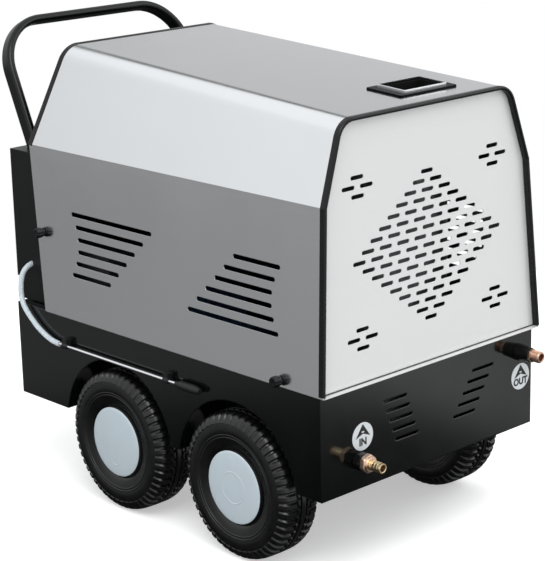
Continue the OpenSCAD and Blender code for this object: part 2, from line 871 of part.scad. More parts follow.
module signal_lamps() {
  color("green") place() for (i = [0 : 2]) {
    rod_y(6.9, box_back_y - 10, fascia_y, control_x - 40 + 40 * i, lower_row);
    rod_y(9, fascia_y, fascia_y + 5, control_x - 40 + 40 * i, lower_row, 7);
  }
}

module cable_gland() {
  color("black") place() difference() {
    union() {
      rod_y(7.9, foot_back - 12, foot_back + 4, 160, chassis_top + 20);
      translate([160, foot_back + 8, chassis_top + 20]) rotate([90, 0, 0]) cylinder(h = 8, r = 14, $fn = 6);
      rod_y(12, foot_back + 8, foot_back + 22, 160, chassis_top + 20, 9);
    }
    rod_y(5, 0, far, 160, chassis_top + 20);
  }
}

// ---- Detergent suction ----

// A Catmull-Rom curve through the route's points
function spline(p, i, t) = let (
    a = p[max(i - 1, 0)], b = p[i], c = p[i + 1], d = p[min(i + 2, len(p) - 1)])
  0.5 * (2 * b + (c - a) * t + (2 * a - 5 * b + 4 * c - d) * t * t + (3 * b - a - 3 * c + d) * t * t * t);
function unit(v) = v / norm(v);
hose_path = concat(
  [for (i = [0 : len(hose_route) - 2], k = [0 : hose_steps - 1]) spline(hose_route, i, k / hose_steps)],
  [hose_route[len(hose_route) - 1]]);
function path_dir(p, i) = i == 0 ? [-1, 0, 0] : i == len(p) - 1 ? [0, -1, 0] : unit(p[i + 1] - p[i - 1]);
// Each ring's first axis is the last ring's, squared to the path again
function frames(p, i = 0, prev = [0, 1, 0]) = i >= len(p) ? [] : let (
    t = path_dir(p, i), u = unit(prev - (prev * t) * t))
  concat([[u, cross(t, u)]], frames(p, i + 1, u));

module swept_tube(path, r_out, r_in, sides) {
  axes = frames(path);
  n = len(path);
  function ring(i, r) = [for (k = [0 : sides - 1])
    path[i] + r * (cos(360 * k / sides) * axes[i][0] + sin(360 * k / sides) * axes[i][1])];
  outer = [for (i = [0 : n - 1]) each ring(i, r_out)];
  inner = [for (i = [0 : n - 1]) each ring(i, r_in)];
  shift = n * sides;
  function id(i, k) = i * sides + k % sides;
  walls = [for (i = [0 : n - 2], k = [0 : sides - 1]) each [
    [id(i, k), id(i, k + 1), id(i + 1, k + 1)], [id(i, k), id(i + 1, k + 1), id(i + 1, k)],
    [shift + id(i, k), shift + id(i + 1, k + 1), shift + id(i, k + 1)],
    [shift + id(i, k), shift + id(i + 1, k), shift + id(i + 1, k + 1)]]];
  ends = [for (k = [0 : sides - 1]) each [
    [id(0, k), shift + id(0, k + 1), id(0, k + 1)], [id(0, k), shift + id(0, k), shift + id(0, k + 1)],
    [id(n - 1, k), id(n - 1, k + 1), shift + id(n - 1, k + 1)],
    [id(n - 1, k), shift + id(n - 1, k + 1), shift + id(n - 1, k)]]];
  polyhedron(points = concat(outer, inner), faces = concat(walls, ends), convexity = 6);
}

module suction_hose() {
  color([0.82, 0.85, 0.87]) place() swept_tube(hose_path, hose_r, hose_r - hose_t, hose_sides);
}

module suction_tube() {
  color("silver") place() difference() {
    rod_y(tube_r, tube_start_y, tube_end_y, tube_x, tube_z);
    rod_y(tube_r - 1, tube_start_y - 1, tube_end_y + 1, tube_x, tube_z);
  }
}

module tube_clips() {
  color("black") place() for (y = clip_y) difference() {
    union() {
      rod_y(tube_r + 2.5, y - clip_half, y + clip_half, tube_x, tube_z);
      block([tube_x - tube_r, y - clip_half, tube_z], [-half_w, y + clip_half, tube_z + tube_r + 10]);
      rod_x(4, -half_w - 9, -half_w - 1, y, tube_z + tube_r + 5);
    }
    rod_y(tube_r, y - 10, y + 10, tube_x, tube_z);
  }
}

module suction_filter() {
  color("black") place() {
    rod_y(tube_r + 2, tube_start_y - 12, tube_start_y, tube_x, tube_z);
    rod_y(8, filter_y + 12, tube_start_y - 12, tube_x, tube_z);
    rod_y(5, filter_y, filter_y + 12, tube_x, tube_z, 8);
  }
}

// ---- Water connections ----

module hex_y(across, y0, y1, x, z) {
  translate([x, y1, z]) rotate([90, 0, 0]) cylinder(h = y1 - y0, r = across / sqrt(3), $fn = 6);
}

module water_inlet() {
  color("peru") place() difference() {
    union() {
      hex_y(27, -15, 0, -inlet_x, inlet_z);
      rod_y(11, -19, -14, -inlet_x, inlet_z);
      hex_y(32, -31, -18, -inlet_x, inlet_z);
      rod_y(inlet_tail_r, -inlet_reach, -30, -inlet_x, inlet_z);
      rod_y(8.9, -1, 26, -inlet_x, inlet_z);
      hex_y(26, chassis_t, 10, -inlet_x, inlet_z);
    }
    rod_y(6, -far, far, -inlet_x, inlet_z);
  }
}

module outlet_boss() {
  color("black") place() difference() {
    union() {
      rod_y(15, -4, 0, outlet_x, outlet_z);
      rod_y(12.5, -28, -3, outlet_x, outlet_z, 15);
    }
    rod_y(10.9, -far, far, outlet_x, outlet_z);
  }
}

module water_outlet() {
  color("peru") place() difference() {
    union() {
      rod_y(10.8, -28, 24, outlet_x, outlet_z);
      hex_y(22, -33, -28, outlet_x, outlet_z);
      rod_y(outlet_r, -outlet_reach, -32, outlet_x, outlet_z);
      hex_y(28, chassis_t, 10, outlet_x, outlet_z);
    }
    rod_y(6.5, -far, far, outlet_x, outlet_z);
  }
}

module marker_plates() {
  thick = 0.8;
  color("gainsboro") place() {
    rod_y(marker_r, -thick, 0, -inlet_x + 11, inlet_z + marker_r + 14);
    rod_y(marker_r, -thick, 0, outlet_x + 4, outlet_z - marker_r - 22);
  }
}

// ---- Machinery under the hood ----

module motor() {
  foot = 14;
  color("steelblue") place() difference() {
    union() {
      rod_y(motor_r, motor_front_y, motor_back_y, -motor_x, motor_z);
      for (y = [motor_front_y + 25, motor_back_y - 25])
        block([-motor_x - 70, y - foot, floor_top], [-motor_x + 70, y + foot, motor_z - motor_r + 25]);
      rod_y(motor_r - 14, motor_back_y, bell_y, -motor_x, motor_z);
      block([-motor_x - 45, motor_front_y + 45, motor_z + motor_r - 12],
            [-motor_x + 45, motor_back_y - 35, motor_z + motor_r + 38]);
    }
    rod_y(shaft_r + shaft_play, 0, far, -motor_x, motor_z);
  }
}

module fan_cover() {
  color("steelblue") place() difference() {
    rod_y(motor_r - 2, fan_cover_y, motor_front_y, -motor_x, motor_z);
    rod_y(motor_r - 5, fan_cover_y + 2.5, far, -motor_x, motor_z);
    for (a = [0 : 30 : 330], r = [28, 44, 60])
      translate([-motor_x + r * cos(a), 0, motor_z + r * sin(a)]) rotate([-90, 0, 0])
        cylinder(h = 2 * fan_cover_y, r = 4, $fn = 16);
  }
}

module motor_rotor() {
  fan_y = fan_cover_y + 8;
  color("dimgray") place() {
    rod_y(shaft_r, fan_y, crank_end_y - 20, -motor_x, motor_z);
    difference() {
      rod_y(shaft_r + 10, fan_y, fan_y + 20, -motor_x, motor_z);
      rod_y(shaft_r, 0, far, -motor_x, motor_z);
    }
    for (a = [0 : 60 : 300]) translate([-motor_x, 0, motor_z]) rotate([0, a, 0])
      block([shaft_r + 9, fan_y + 2, -1.5], [motor_r - 12, fan_y + 18, 1.5]);
  }
}

module pump_crankcase() {
  h = 62;
  color("slategray") place() difference() {
    union() {
      rod_y(motor_r - 14, bell_y, bell_y + 8, -motor_x, motor_z);
      block([-motor_x - 50, bell_y + 7, motor_z - h], [-motor_x + 50, crank_end_y, motor_z + h]);
      block([-motor_x - 40, bell_y + 20, floor_top], [-motor_x + 40, crank_end_y - 10, motor_z - h + 1]);
    }
    rod_y(shaft_r + shaft_play, 0, crank_end_y - 19, -motor_x, motor_z);
  }
}

module pump_head() {
  color("peru") place() {
    block([-motor_x - 44, crank_end_y, motor_z - 36], [-motor_x + 44, pump_end_y, motor_z + 44]);
    for (dx = [-28, 0, 28], dz = [-18, 26]) rod_y(9, pump_end_y - 1, pump_end_y + 6, -motor_x + dx, motor_z + dz);
  }
}

module unloader_valve() {
  color("goldenrod") place() {
    translate([-motor_x - 24, pump_end_y - 20, motor_z + 44]) cylinder(h = 70, r = 14);
    translate([-motor_x - 24, pump_end_y - 20, motor_z + 113]) cylinder(h = 14, r = 9);
  }
}

module boiler_shell() {
  base = floor_top + boiler_foot;
  wall = boiler_t;
  color("silver") place() translate([boiler_x, boiler_y, 0]) {
    difference() {
      translate([0, 0, base]) cylinder(h = boiler_top - base, r = boiler_r, $fn = 96);
      translate([0, 0, base + wall]) cylinder(h = boiler_top - base - 2 * wall, r = boiler_r - wall, $fn = 96);
      translate([flue_x - boiler_x, flue_y - boiler_y, boiler_top - 20]) linear_extrude(40)
        square([flue_w - 2 * flue_flange_side - 20, flue_d - 2 * flue_flange - 20], center = true);
    }
    for (a = [60 : 120 : 300]) rotate([0, 0, a]) translate([boiler_r - 30, 0, floor_top]) cylinder(h = boiler_foot + 1, r = 14);
  }
}

module heating_coil() {
  coil_r = boiler_r - 24;
  sides = 6;
  low = floor_top + boiler_foot + boiler_t + fit_gap + coil_pipe_r * cos(180 / sides);
  pitch = (boiler_top - 60 - low) / coil_turns;
  steps = 24;
  total = coil_turns * steps;
  path = [for (i = [0 : total]) [coil_r * cos(360 * i / steps), coil_r * sin(360 * i / steps), low + pitch * i / steps]];
  function at(i) = path[min(max(i, 0), total)];
  rings = [for (i = [0 : total]) let (
      t = unit(at(i + 1) - at(i - 1)), u = unit([at(i)[0], at(i)[1], 0]), v = unit(cross(t, u)))
    each [for (k = [0 : sides - 1]) at(i) + coil_pipe_r * (cos(360 * k / sides) * u + sin(360 * k / sides) * v)]];
  function id(i, k) = i * sides + k % sides;
  walls = [for (i = [0 : total - 1], k = [0 : sides - 1]) each [
    [id(i, k), id(i, k + 1), id(i + 1, k + 1)], [id(i, k), id(i + 1, k + 1), id(i + 1, k)]]];
  ends = [for (k = [1 : sides - 2]) each [
    [id(0, 0), id(0, k + 1), id(0, k)], [id(total, 0), id(total, k), id(total, k + 1)]]];
  color("sienna") place() translate([boiler_x, boiler_y, 0])
    polyhedron(points = rings, faces = concat(walls, ends), convexity = 20);
}

module flue_duct() {
  w = flue_w - 2 * flue_flange_side - 4 - 2 * flue_gap;
  d = flue_d - 2 * flue_flange - 4 - 2 * flue_gap;
  top = roof_z(flue_y) + flue_rim_h - 3;
  wall = 1.5;
  color("silver") place() translate([flue_x, flue_y, boiler_top]) linear_extrude(top - boiler_top) difference() {
    square([w, d], center = true);
    square([w - 2 * wall, d - 2 * wall], center = true);
  }
}

module burner() {
  bx = boiler_x - 30;
  by = boiler_y + 72;
  color("firebrick") place() {
    translate([bx, by, boiler_top]) cylinder(h = 10, r = 46);
    translate([bx, by, boiler_top + 9]) cylinder(h = 20, r = 30);
    rod_x(36, bx - 26, bx + 26, by, boiler_top + 42);
    rod_x(24, bx + 25, bx + 90, by, boiler_top + 42);
  }
}

module fuel_tank() {
  wall = 4;
  color([0.85, 0.85, 0.78]) place() difference() {
    union() {
      block([tank_x[0], tank_y, tank_z[0]], [tank_x[1], plate_y, tank_z[1]]);
      translate([neck_x, neck_y, tank_z[1] - 1]) cylinder(h = neck_z - tank_z[1] + 1, r = neck_r);
      translate([neck_x, neck_y, neck_z]) sphere(r = neck_r);
      rod_y(neck_r, neck_y, neck_end_y, neck_x, neck_z);
    }
    block([tank_x[0] + wall, tank_y + wall, tank_z[0] + wall], [tank_x[1] - wall, plate_y - wall, tank_z[1] - wall]);
    translate([neck_x, neck_y, tank_z[1] - 2 * wall]) cylinder(h = neck_z - tank_z[1] + 2 * wall, r = neck_r - 3);
    translate([neck_x, neck_y, neck_z]) sphere(r = neck_r - 3);
    rod_y(neck_r - 3, neck_y, far, neck_x, neck_z);
  }
}

module fuel_cap() {
  cap_r = neck_r + 8;
  color("black") place() {
    difference() {
      rod_y(cap_r, plate_y + 10, neck_end_y + 8, neck_x, neck_z);
      rod_y(neck_r + 0.08, 0, neck_end_y + 1, neck_x, neck_z);
    }
    block([neck_x - cap_r * 0.75, neck_end_y + 7, neck_z - 5], [neck_x + cap_r * 0.75, neck_end_y + 18, neck_z + 5]);
  }
}

module float_tank() {
  wall = 3;
  low = [float_side_gap - half_w, plate_y - float_l, chassis_top - float_drop];
  high = [-motor_x - motor_r - 5, plate_y, chassis_top - float_drop + float_h];
  rim = [wall, wall, wall];
  color([0.9, 0.9, 0.86]) place() difference() {
    block(low, high);
    block(low + rim, high - rim);
  }
}

// A pipe through points that lie square to each other, with a block elbow at each corner
module pipe(points, r) {
  for (i = [0 : len(points) - 2]) {
    run = points[i + 1] - points[i];
    translate(points[i]) rotate(run[0] != 0 ? [0, sign(run[0]) * 90, 0] : run[1] != 0 ? [-sign(run[1]) * 90, 0, 0]
      : [run[2] > 0 ? 0 : 180, 0, 0]) cylinder(h = norm(run), r = r);
  }
  for (i = [1 : len(points) - 2]) translate(points[i]) cube(2.4 * r, center = true);
}

module water_pipes() {
  feed_r = 8;
  pressure_r = 6;
  feed_z = chassis_top - 26;
  elbow_y = 36;
  pump_x = -motor_x + 44;
  pump_y = crank_end_y + 20;
  riser_x = boiler_x + 10;
  outlet_pipe_x = boiler_x + 120;
  color("darkgray") place() difference() {
    union() {
      pipe([[-inlet_x, 26, inlet_z], [-inlet_x, elbow_y, inlet_z], [-inlet_x, elbow_y, feed_z],
            [-inlet_x, 560, feed_z]], feed_r);
      pipe([[pump_x, pump_y, motor_z], [riser_x, pump_y, motor_z], [riser_x, boiler_y, motor_z]], pressure_r);
      pipe([[outlet_x, 24, outlet_z], [outlet_x, elbow_y, outlet_z], [outlet_pipe_x, elbow_y, outlet_z],
            [outlet_pipe_x, boiler_y, outlet_z]], pressure_r);
    }
    translate([boiler_x, boiler_y, 0]) cylinder(h = far, r = boiler_r + fit_gap, $fn = 96);
  }
}

// ---- Drawing ----

chassis();
axles();
axle_clamps();
axle_washers();
rear_frame();
control_box();
control_panel();
gauge_case();
gauge_lens();
gauge_needle();
signal_lamps();
control_knob(-control_x, upper_row, knob_r);  // switch_knob
control_knob(0, upper_row, knob_r);  // thermostat_knob
control_knob(-control_x, lower_row, knob_r * 0.75);  // detergent_knob
handle();
handle_bolts();
cable_gland();
suction_hose();
suction_tube();
tube_clips();
suction_filter();
water_inlet();
water_outlet();
outlet_boss();
marker_plates();
motor();
fan_cover();
motor_rotor();
pump_crankcase();
pump_head();
unloader_valve();
boiler_shell();
heating_coil();
flue_duct();
burner();
fuel_tank();
fuel_cap();
float_tank();
water_pipes();
hood_shell();
front_panel();
front_trim();
rear_trim();
flue_rim();
hood_knob(left, front_knob);  // front_left_hood_knob
hood_knob(right, front_knob);  // front_right_hood_knob
hood_knob(left, rear_knob);  // rear_left_hood_knob
hood_knob(right, rear_knob);  // rear_right_hood_knob
tyre(left, front_axle_y);  // front_left_tyre
tyre(right, front_axle_y);  // front_right_tyre
tyre(left, rear_axle_y);  // rear_left_tyre
tyre(right, rear_axle_y);  // rear_right_tyre
rim(left, front_axle_y);  // front_left_rim
rim(right, front_axle_y);  // front_right_rim
rim(left, rear_axle_y);  // rear_left_rim
rim(right, rear_axle_y);  // rear_right_rim
hub_cap(left, front_axle_y);  // front_left_hub_cap
hub_cap(right, front_axle_y);  // front_right_hub_cap
hub_cap(left, rear_axle_y);  // rear_left_hub_cap
hub_cap(right, rear_axle_y);  // rear_right_hub_cap
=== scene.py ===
import json
import math

import bmesh
import bpy
from mathutils import Matrix, Vector, noise

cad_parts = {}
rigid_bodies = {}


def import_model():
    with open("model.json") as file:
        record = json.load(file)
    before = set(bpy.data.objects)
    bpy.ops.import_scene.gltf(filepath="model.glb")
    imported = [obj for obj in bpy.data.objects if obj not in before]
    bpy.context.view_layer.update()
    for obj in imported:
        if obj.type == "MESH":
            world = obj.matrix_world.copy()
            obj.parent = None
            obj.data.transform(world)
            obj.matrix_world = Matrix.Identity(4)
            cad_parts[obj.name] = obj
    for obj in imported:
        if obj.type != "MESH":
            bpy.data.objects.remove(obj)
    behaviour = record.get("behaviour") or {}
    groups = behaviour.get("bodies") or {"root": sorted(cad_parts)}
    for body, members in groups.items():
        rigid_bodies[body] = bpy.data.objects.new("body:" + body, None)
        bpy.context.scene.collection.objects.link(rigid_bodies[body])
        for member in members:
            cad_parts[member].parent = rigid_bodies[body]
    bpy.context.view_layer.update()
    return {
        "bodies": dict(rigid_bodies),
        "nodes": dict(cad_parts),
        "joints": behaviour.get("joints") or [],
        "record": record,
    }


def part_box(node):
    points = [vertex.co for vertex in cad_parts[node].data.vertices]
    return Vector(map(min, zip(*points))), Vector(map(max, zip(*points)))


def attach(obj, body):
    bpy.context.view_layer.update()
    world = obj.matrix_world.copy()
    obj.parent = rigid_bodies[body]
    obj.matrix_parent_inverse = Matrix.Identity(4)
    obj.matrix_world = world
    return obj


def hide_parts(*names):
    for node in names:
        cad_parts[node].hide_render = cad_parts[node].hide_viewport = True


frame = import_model()
NODES = frame["nodes"]

MM = 0.001
# The CAD's place of the chassis front, from which all lengths along Y are measured here
FRONT_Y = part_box("chassis")[0].y
LEFT, RIGHT = -1, 1

# ---- Sizes in millimetres, as in the part's source ----
HOOD_Z, SHOULDER_Z, TOP_Z, ROOF_TOP = 336.3, 640.3, 772.3, 818.3
BOTTOM_HALF, SHOULDER_HALF, TOP_HALF = 267.0, 246.0, 202.0
FRONT_TOP_Y, OVERHANG = 2.0, 14.0
REAR_BOTTOM_Y, REAR_SHOULDER_Y, REAR_TOP_Y = 715.0, 765.0, 720.0
HOOD_T, HOOD_BEND = 1.5, 38.0
TRIM_FACE, TRIM_DEPTH, TRIM_LIP, TRIM_START = 7.0, 11.0, 1.5, 3.5
PANEL_RECESS = 12.0
SIDE_SLOTS, SLOT_W, SLOT_TOP, SLOT_PITCH, KNOB_HOLE_R = 6, 8, 194, 22, 4.6
LOWER_TAPER = (BOTTOM_HALF - SHOULDER_HALF) / (SHOULDER_Z - HOOD_Z)
SLANT_TAPER = (SHOULDER_HALF - TOP_HALF) / (TOP_Z - SHOULDER_Z)
FRONT_LEAN = (FRONT_TOP_Y + OVERHANG) / (TOP_Z - HOOD_Z)
ROOF_SLOPE = (ROOF_TOP - TOP_Z) / (REAR_TOP_Y - FRONT_TOP_Y)
ROOF_ANGLE = math.atan(ROOF_SLOPE)
FLUE_X, FLUE_Y, FLUE_W, FLUE_D, FLUE_H = 53.0, 92.0, 138.0, 80.0, 8.0
COLLAR_W, COLLAR_D = FLUE_W - 34.0, FLUE_D - 16.0
WHEEL_R, TRACK_HALF, BEAD_R, TYRE_HALF = 130.0, 230.0, 68.0, 42.0
FRONT_AXLE_Y, REAR_AXLE_Y = 204.0, 520.0
FRONT_KNOB, REAR_KNOB = (87.0, 347.0), (722.0, 484.0)
PANEL_Y = 841.0
UPPER_ROW, LOWER_ROW, CONTROL_X = 539.04, 443.88, 120.0
GAUGE_R = 32.0


def at(x, y, z):
    """A point in metres in the row frame, from millimetres measured from the chassis front."""
    return Vector((x * MM, y * MM + FRONT_Y, z * MM))


# ---- Camera ----
camera_data = bpy.data.cameras.new("camera")
camera = bpy.data.objects.new("camera", camera_data)
bpy.context.scene.collection.objects.link(camera)
bpy.context.scene.camera = camera
camera_data.lens = 36 * 1877.65 / 561
camera_data.clip_end = 60
camera_axes = Matrix((
    (0.72767567, 0.20248616, -0.65535294),
    (-0.68552672, 0.18228293, -0.70485889),
    (-0.02326451, 0.96217061, 0.27145253),
))
camera.matrix_world = Matrix.Translation(at(-2221.4, -2003.8, 1321.2)) @ camera_axes.to_4x4()
bpy.context.scene.view_settings.view_transform = "Standard"


# ---- Node helpers ----
class Shader:
    """Builds the nodes of a material or of the world. Colours and numbers may be constants or sockets."""

    def __init__(self, name, world=False):
        self.owner = (bpy.data.worlds if world else bpy.data.materials).new(name)
        self.owner.use_nodes = True
        self.tree = self.owner.node_tree
        self.tree.nodes.clear()
        self.out = self.add("OutputWorld" if world else "OutputMaterial")
        self.place = self.add("TexCoord").outputs["Generated" if world else "Object"]

    def add(self, kind, inputs=None, **settings):
        node = self.tree.nodes.new("ShaderNode" + kind)
        for key, value in settings.items():
            setattr(node, key, value)
        for key, value in (inputs or {}).items():
            self.put(node.inputs[key], value)
        return node

    def put(self, socket, value):
        if isinstance(value, bpy.types.NodeSocket):
            self.tree.links.new(value, socket)
        elif socket.type == "RGBA":
            socket.default_value = (*value, 1)
        elif value is not None:
            socket.default_value = value

    def scaled(self, scale):
        return self.add("Mapping", {"Vector": self.place, "Scale": scale}).outputs["Vector"]

    def noise(self, scale, detail=2.0, rough=0.5, where=None):
        inputs = {"Vector": where or self.place, "Scale": scale, "Detail": detail, "Roughness": rough}
        return self.add("TexNoise", inputs).outputs["Fac"]

    def steps(self, value, low, high, to_low=0.0, to_high=1.0, kind="LINEAR"):
        inputs = {"Value": value, "From Min": low, "From Max": high, "To Min": to_low, "To Max": to_high}
        return self.add("MapRange", inputs, interpolation_type=kind).outputs["Result"]

    def blend(self, factor, first, second):
        inputs = {"Factor": factor, "A": first, "B": second}
        return self.add("Mix", inputs, data_type="RGBA").outputs["Result"]

    def math(self, how, first, second):
        return self.add("Math", {0: first, 1: second}, operation=how).outputs[0]

    def rounded(self, radius):
        """The surface's normal, with its sharp edges rounded."""
        return self.add("Bevel", {"Radius": radius}, samples=6).outputs["Normal"]

    def edges(self, radius):
        """About 1 along sharp edges and 0 on flat faces."""
        normal = self.add("NewGeometry").outputs["Normal"]
        inputs = {0: self.rounded(radius), 1: normal}
        dot = self.add("VectorMath", inputs, operation="DOT_PRODUCT")
        return self.steps(dot.outputs["Value"], 0.995, 0.9)

    def finish(self, color, rough, metal, bump, bump_size, bump_strength, round_edges, **more):
        normal = self.rounded(round_edges) if round_edges else None
        bumped = self.add("Bump", {"Strength": bump_strength, "Distance": bump_size,
                                             "Height": bump, "Normal": normal}).outputs["Normal"]
        inputs = {"Base Color": color, "Roughness": rough, "Metallic": metal, "Normal": bumped}
        inputs.update({key.replace("_", " "): value for key, value in more.items()})
        bsdf = self.add("BsdfPrincipled", inputs)
        self.put(self.out.inputs["Surface"], bsdf.outputs["BSDF"])
        return self.owner


def times(color, share, more=0.0):
    return tuple(min(1, c * share + more) for c in color)


def painted(name, color, rough, dust=(0.1, 0.1, 0.095), dusty=0.12, coat=0.0, peel=0.25,
            metal=0.0, edge=0.0012, level=0.5, vary=1.0):
    """Paint with a faint orange peel, a little dust and edges worn slightly brighter."""
    s = Shader(name)
    cloud = s.noise(9, 4, 0.6)
    fine = s.noise(160, 3, 0.6)
    worn = s.math("MULTIPLY", s.edges(edge), s.steps(fine, 0.42, 0.7))
    tone = s.blend(s.math("MULTIPLY", s.steps(cloud, 0.42, 0.75), dusty), color, dust)
    tone = s.blend(s.math("MULTIPLY", worn, 0.25), tone, times(color, 2.2, 0.03))
    roughness = s.steps(cloud, 0.3, 0.8, rough - 0.04 * vary, rough + 0.1 * vary)
    return s.finish(tone, roughness, metal, s.noise(700, 2), 0.0001, peel, edge,
                    Coat_Weight=coat, Coat_Roughness=0.08, Specular_IOR_Level=level)


def brushed(name, color, rough, along, streak=0.06, smudge=0.05, metal=1.0, strength=0.35):
    """Brushed metal with its grain along one axis, slight streaks and faint smudges."""
    s = Shader(name)
    stretch = {"x": (9, 1300, 1300), "y": (1300, 9, 1300), "z": (1300, 1300, 9)}[along]
    grain = s.noise(1.0, 3, 0.7, s.scaled(stretch))
    wide = s.noise(0.12, 2, 0.5, s.scaled(stretch))
    cloud = s.noise(5, 3, 0.6)
    tone = s.blend(s.steps(grain, 0.3, 0.7), times(color, 1 - streak), color)
    tone = s.blend(s.math("MULTIPLY", s.steps(cloud, 0.45, 0.8), smudge), tone, times(color, 0.8))
    roughness = s.math("ADD", s.steps(grain, 0.3, 0.7, rough - 0.03, rough + 0.05),
                       s.steps(cloud, 0.35, 0.75, 0, 0.05))
    height = s.math("ADD", s.math("MULTIPLY", grain, 0.7), s.math("MULTIPLY", wide, 0.3))
    return s.finish(tone, roughness, metal, height, 0.00004, strength, 0.0006)


def cast(name, color, rough, metal, grain=420, size=0.0003, strength=0.35, variation=0.18, edge=0.0012,
         level=0.5):
    """Cast, moulded or oxidised surface with a fine grain and uneven tone."""
    s = Shader(name)
    cloud = s.noise(22, 4, 0.6)
    pits = s.noise(grain, 3, 0.6)
    tone = s.blend(s.steps(cloud, 0.35, 0.7), times(color, 1 - variation), color)
    tone = s.blend(s.math("MULTIPLY", s.edges(edge), 0.2), tone, times(color, 1.4, 0.02))
    roughness = s.steps(cloud, 0.3, 0.75, rough - 0.05, rough + 0.08)
    return s.finish(tone, roughness, metal, pits, size, strength, edge, Specular_IOR_Level=level)


def turned(name, color, rough):
    """Machined brass or steel: faint tool rings, tarnish in patches."""
    s = Shader(name)
    rings = s.noise(1.0, 2, 0.5, s.scaled((60, 1500, 60)))
    patch = s.noise(60, 4, 0.6)
    tone = s.blend(s.math("MULTIPLY", s.steps(patch, 0.45, 0.75), 0.55), color,
                   (color[0] * 0.7, color[1] * 0.62, color[2] * 0.6))
    roughness = s.math("ADD", s.steps(patch, 0.3, 0.8, rough - 0.04, rough + 0.14),
                       s.steps(rings, 0.3, 0.7, 0, 0.04))
    return s.finish(tone, roughness, 1.0, rings, 0.00008, 0.4, 0.0004)


BLACK_STEEL = painted("black_steel", (0.0018, 0.0022, 0.0021), 0.11, dusty=0.008, peel=0.02,
                      edge=0.0025, vary=0.3)
HANDLE_BLACK = painted("handle_black", (0.0025, 0.003, 0.003), 0.24, dusty=0.015, peel=0.12, level=0.3)
FRAME_BLACK = painted("frame_black", (0.004, 0.0045, 0.0048), 0.34, dusty=0.03, peel=0.25, level=0.25)
FLUE_BLACK = painted("flue_black", (0.0025, 0.003, 0.0035), 0.16, dusty=0.01, peel=0.05, edge=0.0004,
                     level=0.02)
PANEL_PLASTIC = painted("panel_plastic", (0.007, 0.0073, 0.008), 0.4, dusty=0.03, peel=0.4, level=0.35)
STAINLESS_SIDE = brushed("stainless_side", (0.76, 0.775, 0.79), 0.15, "y", streak=0.04, smudge=0.03)
STAINLESS_FRONT = brushed("stainless_front", (0.72, 0.72, 0.72), 0.42, "x", streak=0.03, smudge=0.03,
                          metal=0.35, strength=0.1)
STEEL = cast("steel", (0.42, 0.43, 0.44), 0.36, 1.0, 500, 0.0001, 0.25)
# The boiler shell's steel is made dark as painted shade inside the hood, where it is seen through the slots.
BOILER_STEEL_PAINTED_SHADE = brushed("boiler_steel_painted_shade", (0.2, 0.205, 0.21), 0.4, "z", smudge=0.3)
TRIM_RUBBER = cast("trim_rubber", (0.004, 0.0045, 0.005), 0.26, 0.0, 900, 0.0001, 0.2, 0.3, 0.0006,
                   level=0.3)
KNOB_PLASTIC = cast("knob_plastic", (0.004, 0.004, 0.0045), 0.3, 0.0, 900, 0.00008, 0.2, 0.25, 0.0008,
                    level=0.3)
# Soot, and near-black as painted shade inside the flue's mouth.
SOOT_AND_SHADE = cast("flue_soot_and_shade", (0.004, 0.0037, 0.0035), 0.8, 0.0, 300, 0.0004, 0.5, 0.5, level=0.15)
FLUE_EDGE = brushed("flue_edge", (0.72, 0.73, 0.75), 0.3, "x")
BRASS = turned("brass", (0.86, 0.63, 0.48), 0.3)
BRIGHT_BRASS = turned("bright_brass", (0.9, 0.72, 0.44), 0.26)
COPPER_BRASS = turned("copper_brass", (0.66, 0.44, 0.33), 0.3)
GAUGE_METAL = brushed("gauge_metal", (0.74, 0.75, 0.76), 0.16, "z", streak=0.03)
TUBE_METAL = brushed("tube_metal", (0.84, 0.86, 0.88), 0.2, "y")
MOTOR_PAINT = painted("motor_paint", (0.055, 0.13, 0.26), 0.4, dusty=0.3, coat=0.1, peel=0.5)
ROTOR_STEEL = turned("rotor_steel", (0.5, 0.5, 0.51), 0.32)
PUMP_CAST = cast("pump_cast", (0.45, 0.46, 0.47), 0.5, 0.9, 300, 0.0004, 0.5)
COIL_STEEL = cast("coil_steel", (0.2, 0.13, 0.1), 0.6, 0.7, 260, 0.0004, 0.5, 0.4)
BURNER_PAINT = painted("burner_paint", (0.36, 0.035, 0.025), 0.38, dusty=0.3, coat=0.1, peel=0.5)
PIPE = cast("pipe", (0.4, 0.4, 0.41), 0.4, 0.9, 300, 0.0002, 0.3)
RIM_BLACK = painted("rim_black", (0.008, 0.008, 0.009), 0.4, dusty=0.2, level=0.3)
HUB_CAP = painted("hub_cap", (0.53, 0.61, 0.66), 0.36, dust=(0.34, 0.36, 0.37), dusty=0.2, metal=0.25,
                  peel=0.15)
MARKER = painted("marker_white", (0.56, 0.59, 0.61), 0.38, dust=(0.4, 0.41, 0.4), dusty=0.3, peel=0.1,
                 edge=0.0003)
INK = painted("print_black", (0.012, 0.012, 0.013), 0.5, dusty=0.1, peel=0.1, edge=0.0001)
PRINT_WHITE = painted("print_white", (0.72, 0.73, 0.73), 0.5, dusty=0.15, peel=0.1, edge=0.0001)
NEEDLE_RED = painted("needle_red", (0.62, 0.02, 0.015), 0.35, dusty=0.05, edge=0.0002)
DIAL_FACE = painted("dial_face", (0.78, 0.78, 0.76), 0.5, dusty=0.1, peel=0.1, edge=0.0002)
TANK_PLASTIC = cast("tank_plastic", (0.03, 0.031, 0.033), 0.5, 0.0, 500, 0.0002, 0.3, 0.1, level=0.3)


def make_tyre_rubber():
    s = Shader("tyre_rubber")
    cloud = s.noise(30, 4, 0.65)
    fine = s.noise(900, 3, 0.6)
    tone = s.blend(s.steps(cloud, 0.4, 0.75), (0.0025, 0.0026, 0.0028), (0.005, 0.0051, 0.0052))
    tone = s.blend(s.math("MULTIPLY", s.edges(0.0012), 0.25), tone, (0.03, 0.031, 0.031))
    roughness = s.steps(cloud, 0.3, 0.75, 0.25, 0.34)
    return s.finish(tone, roughness, 0.0, fine, 0.0002, 0.2, 0.0009, Specular_IOR_Level=0.5)


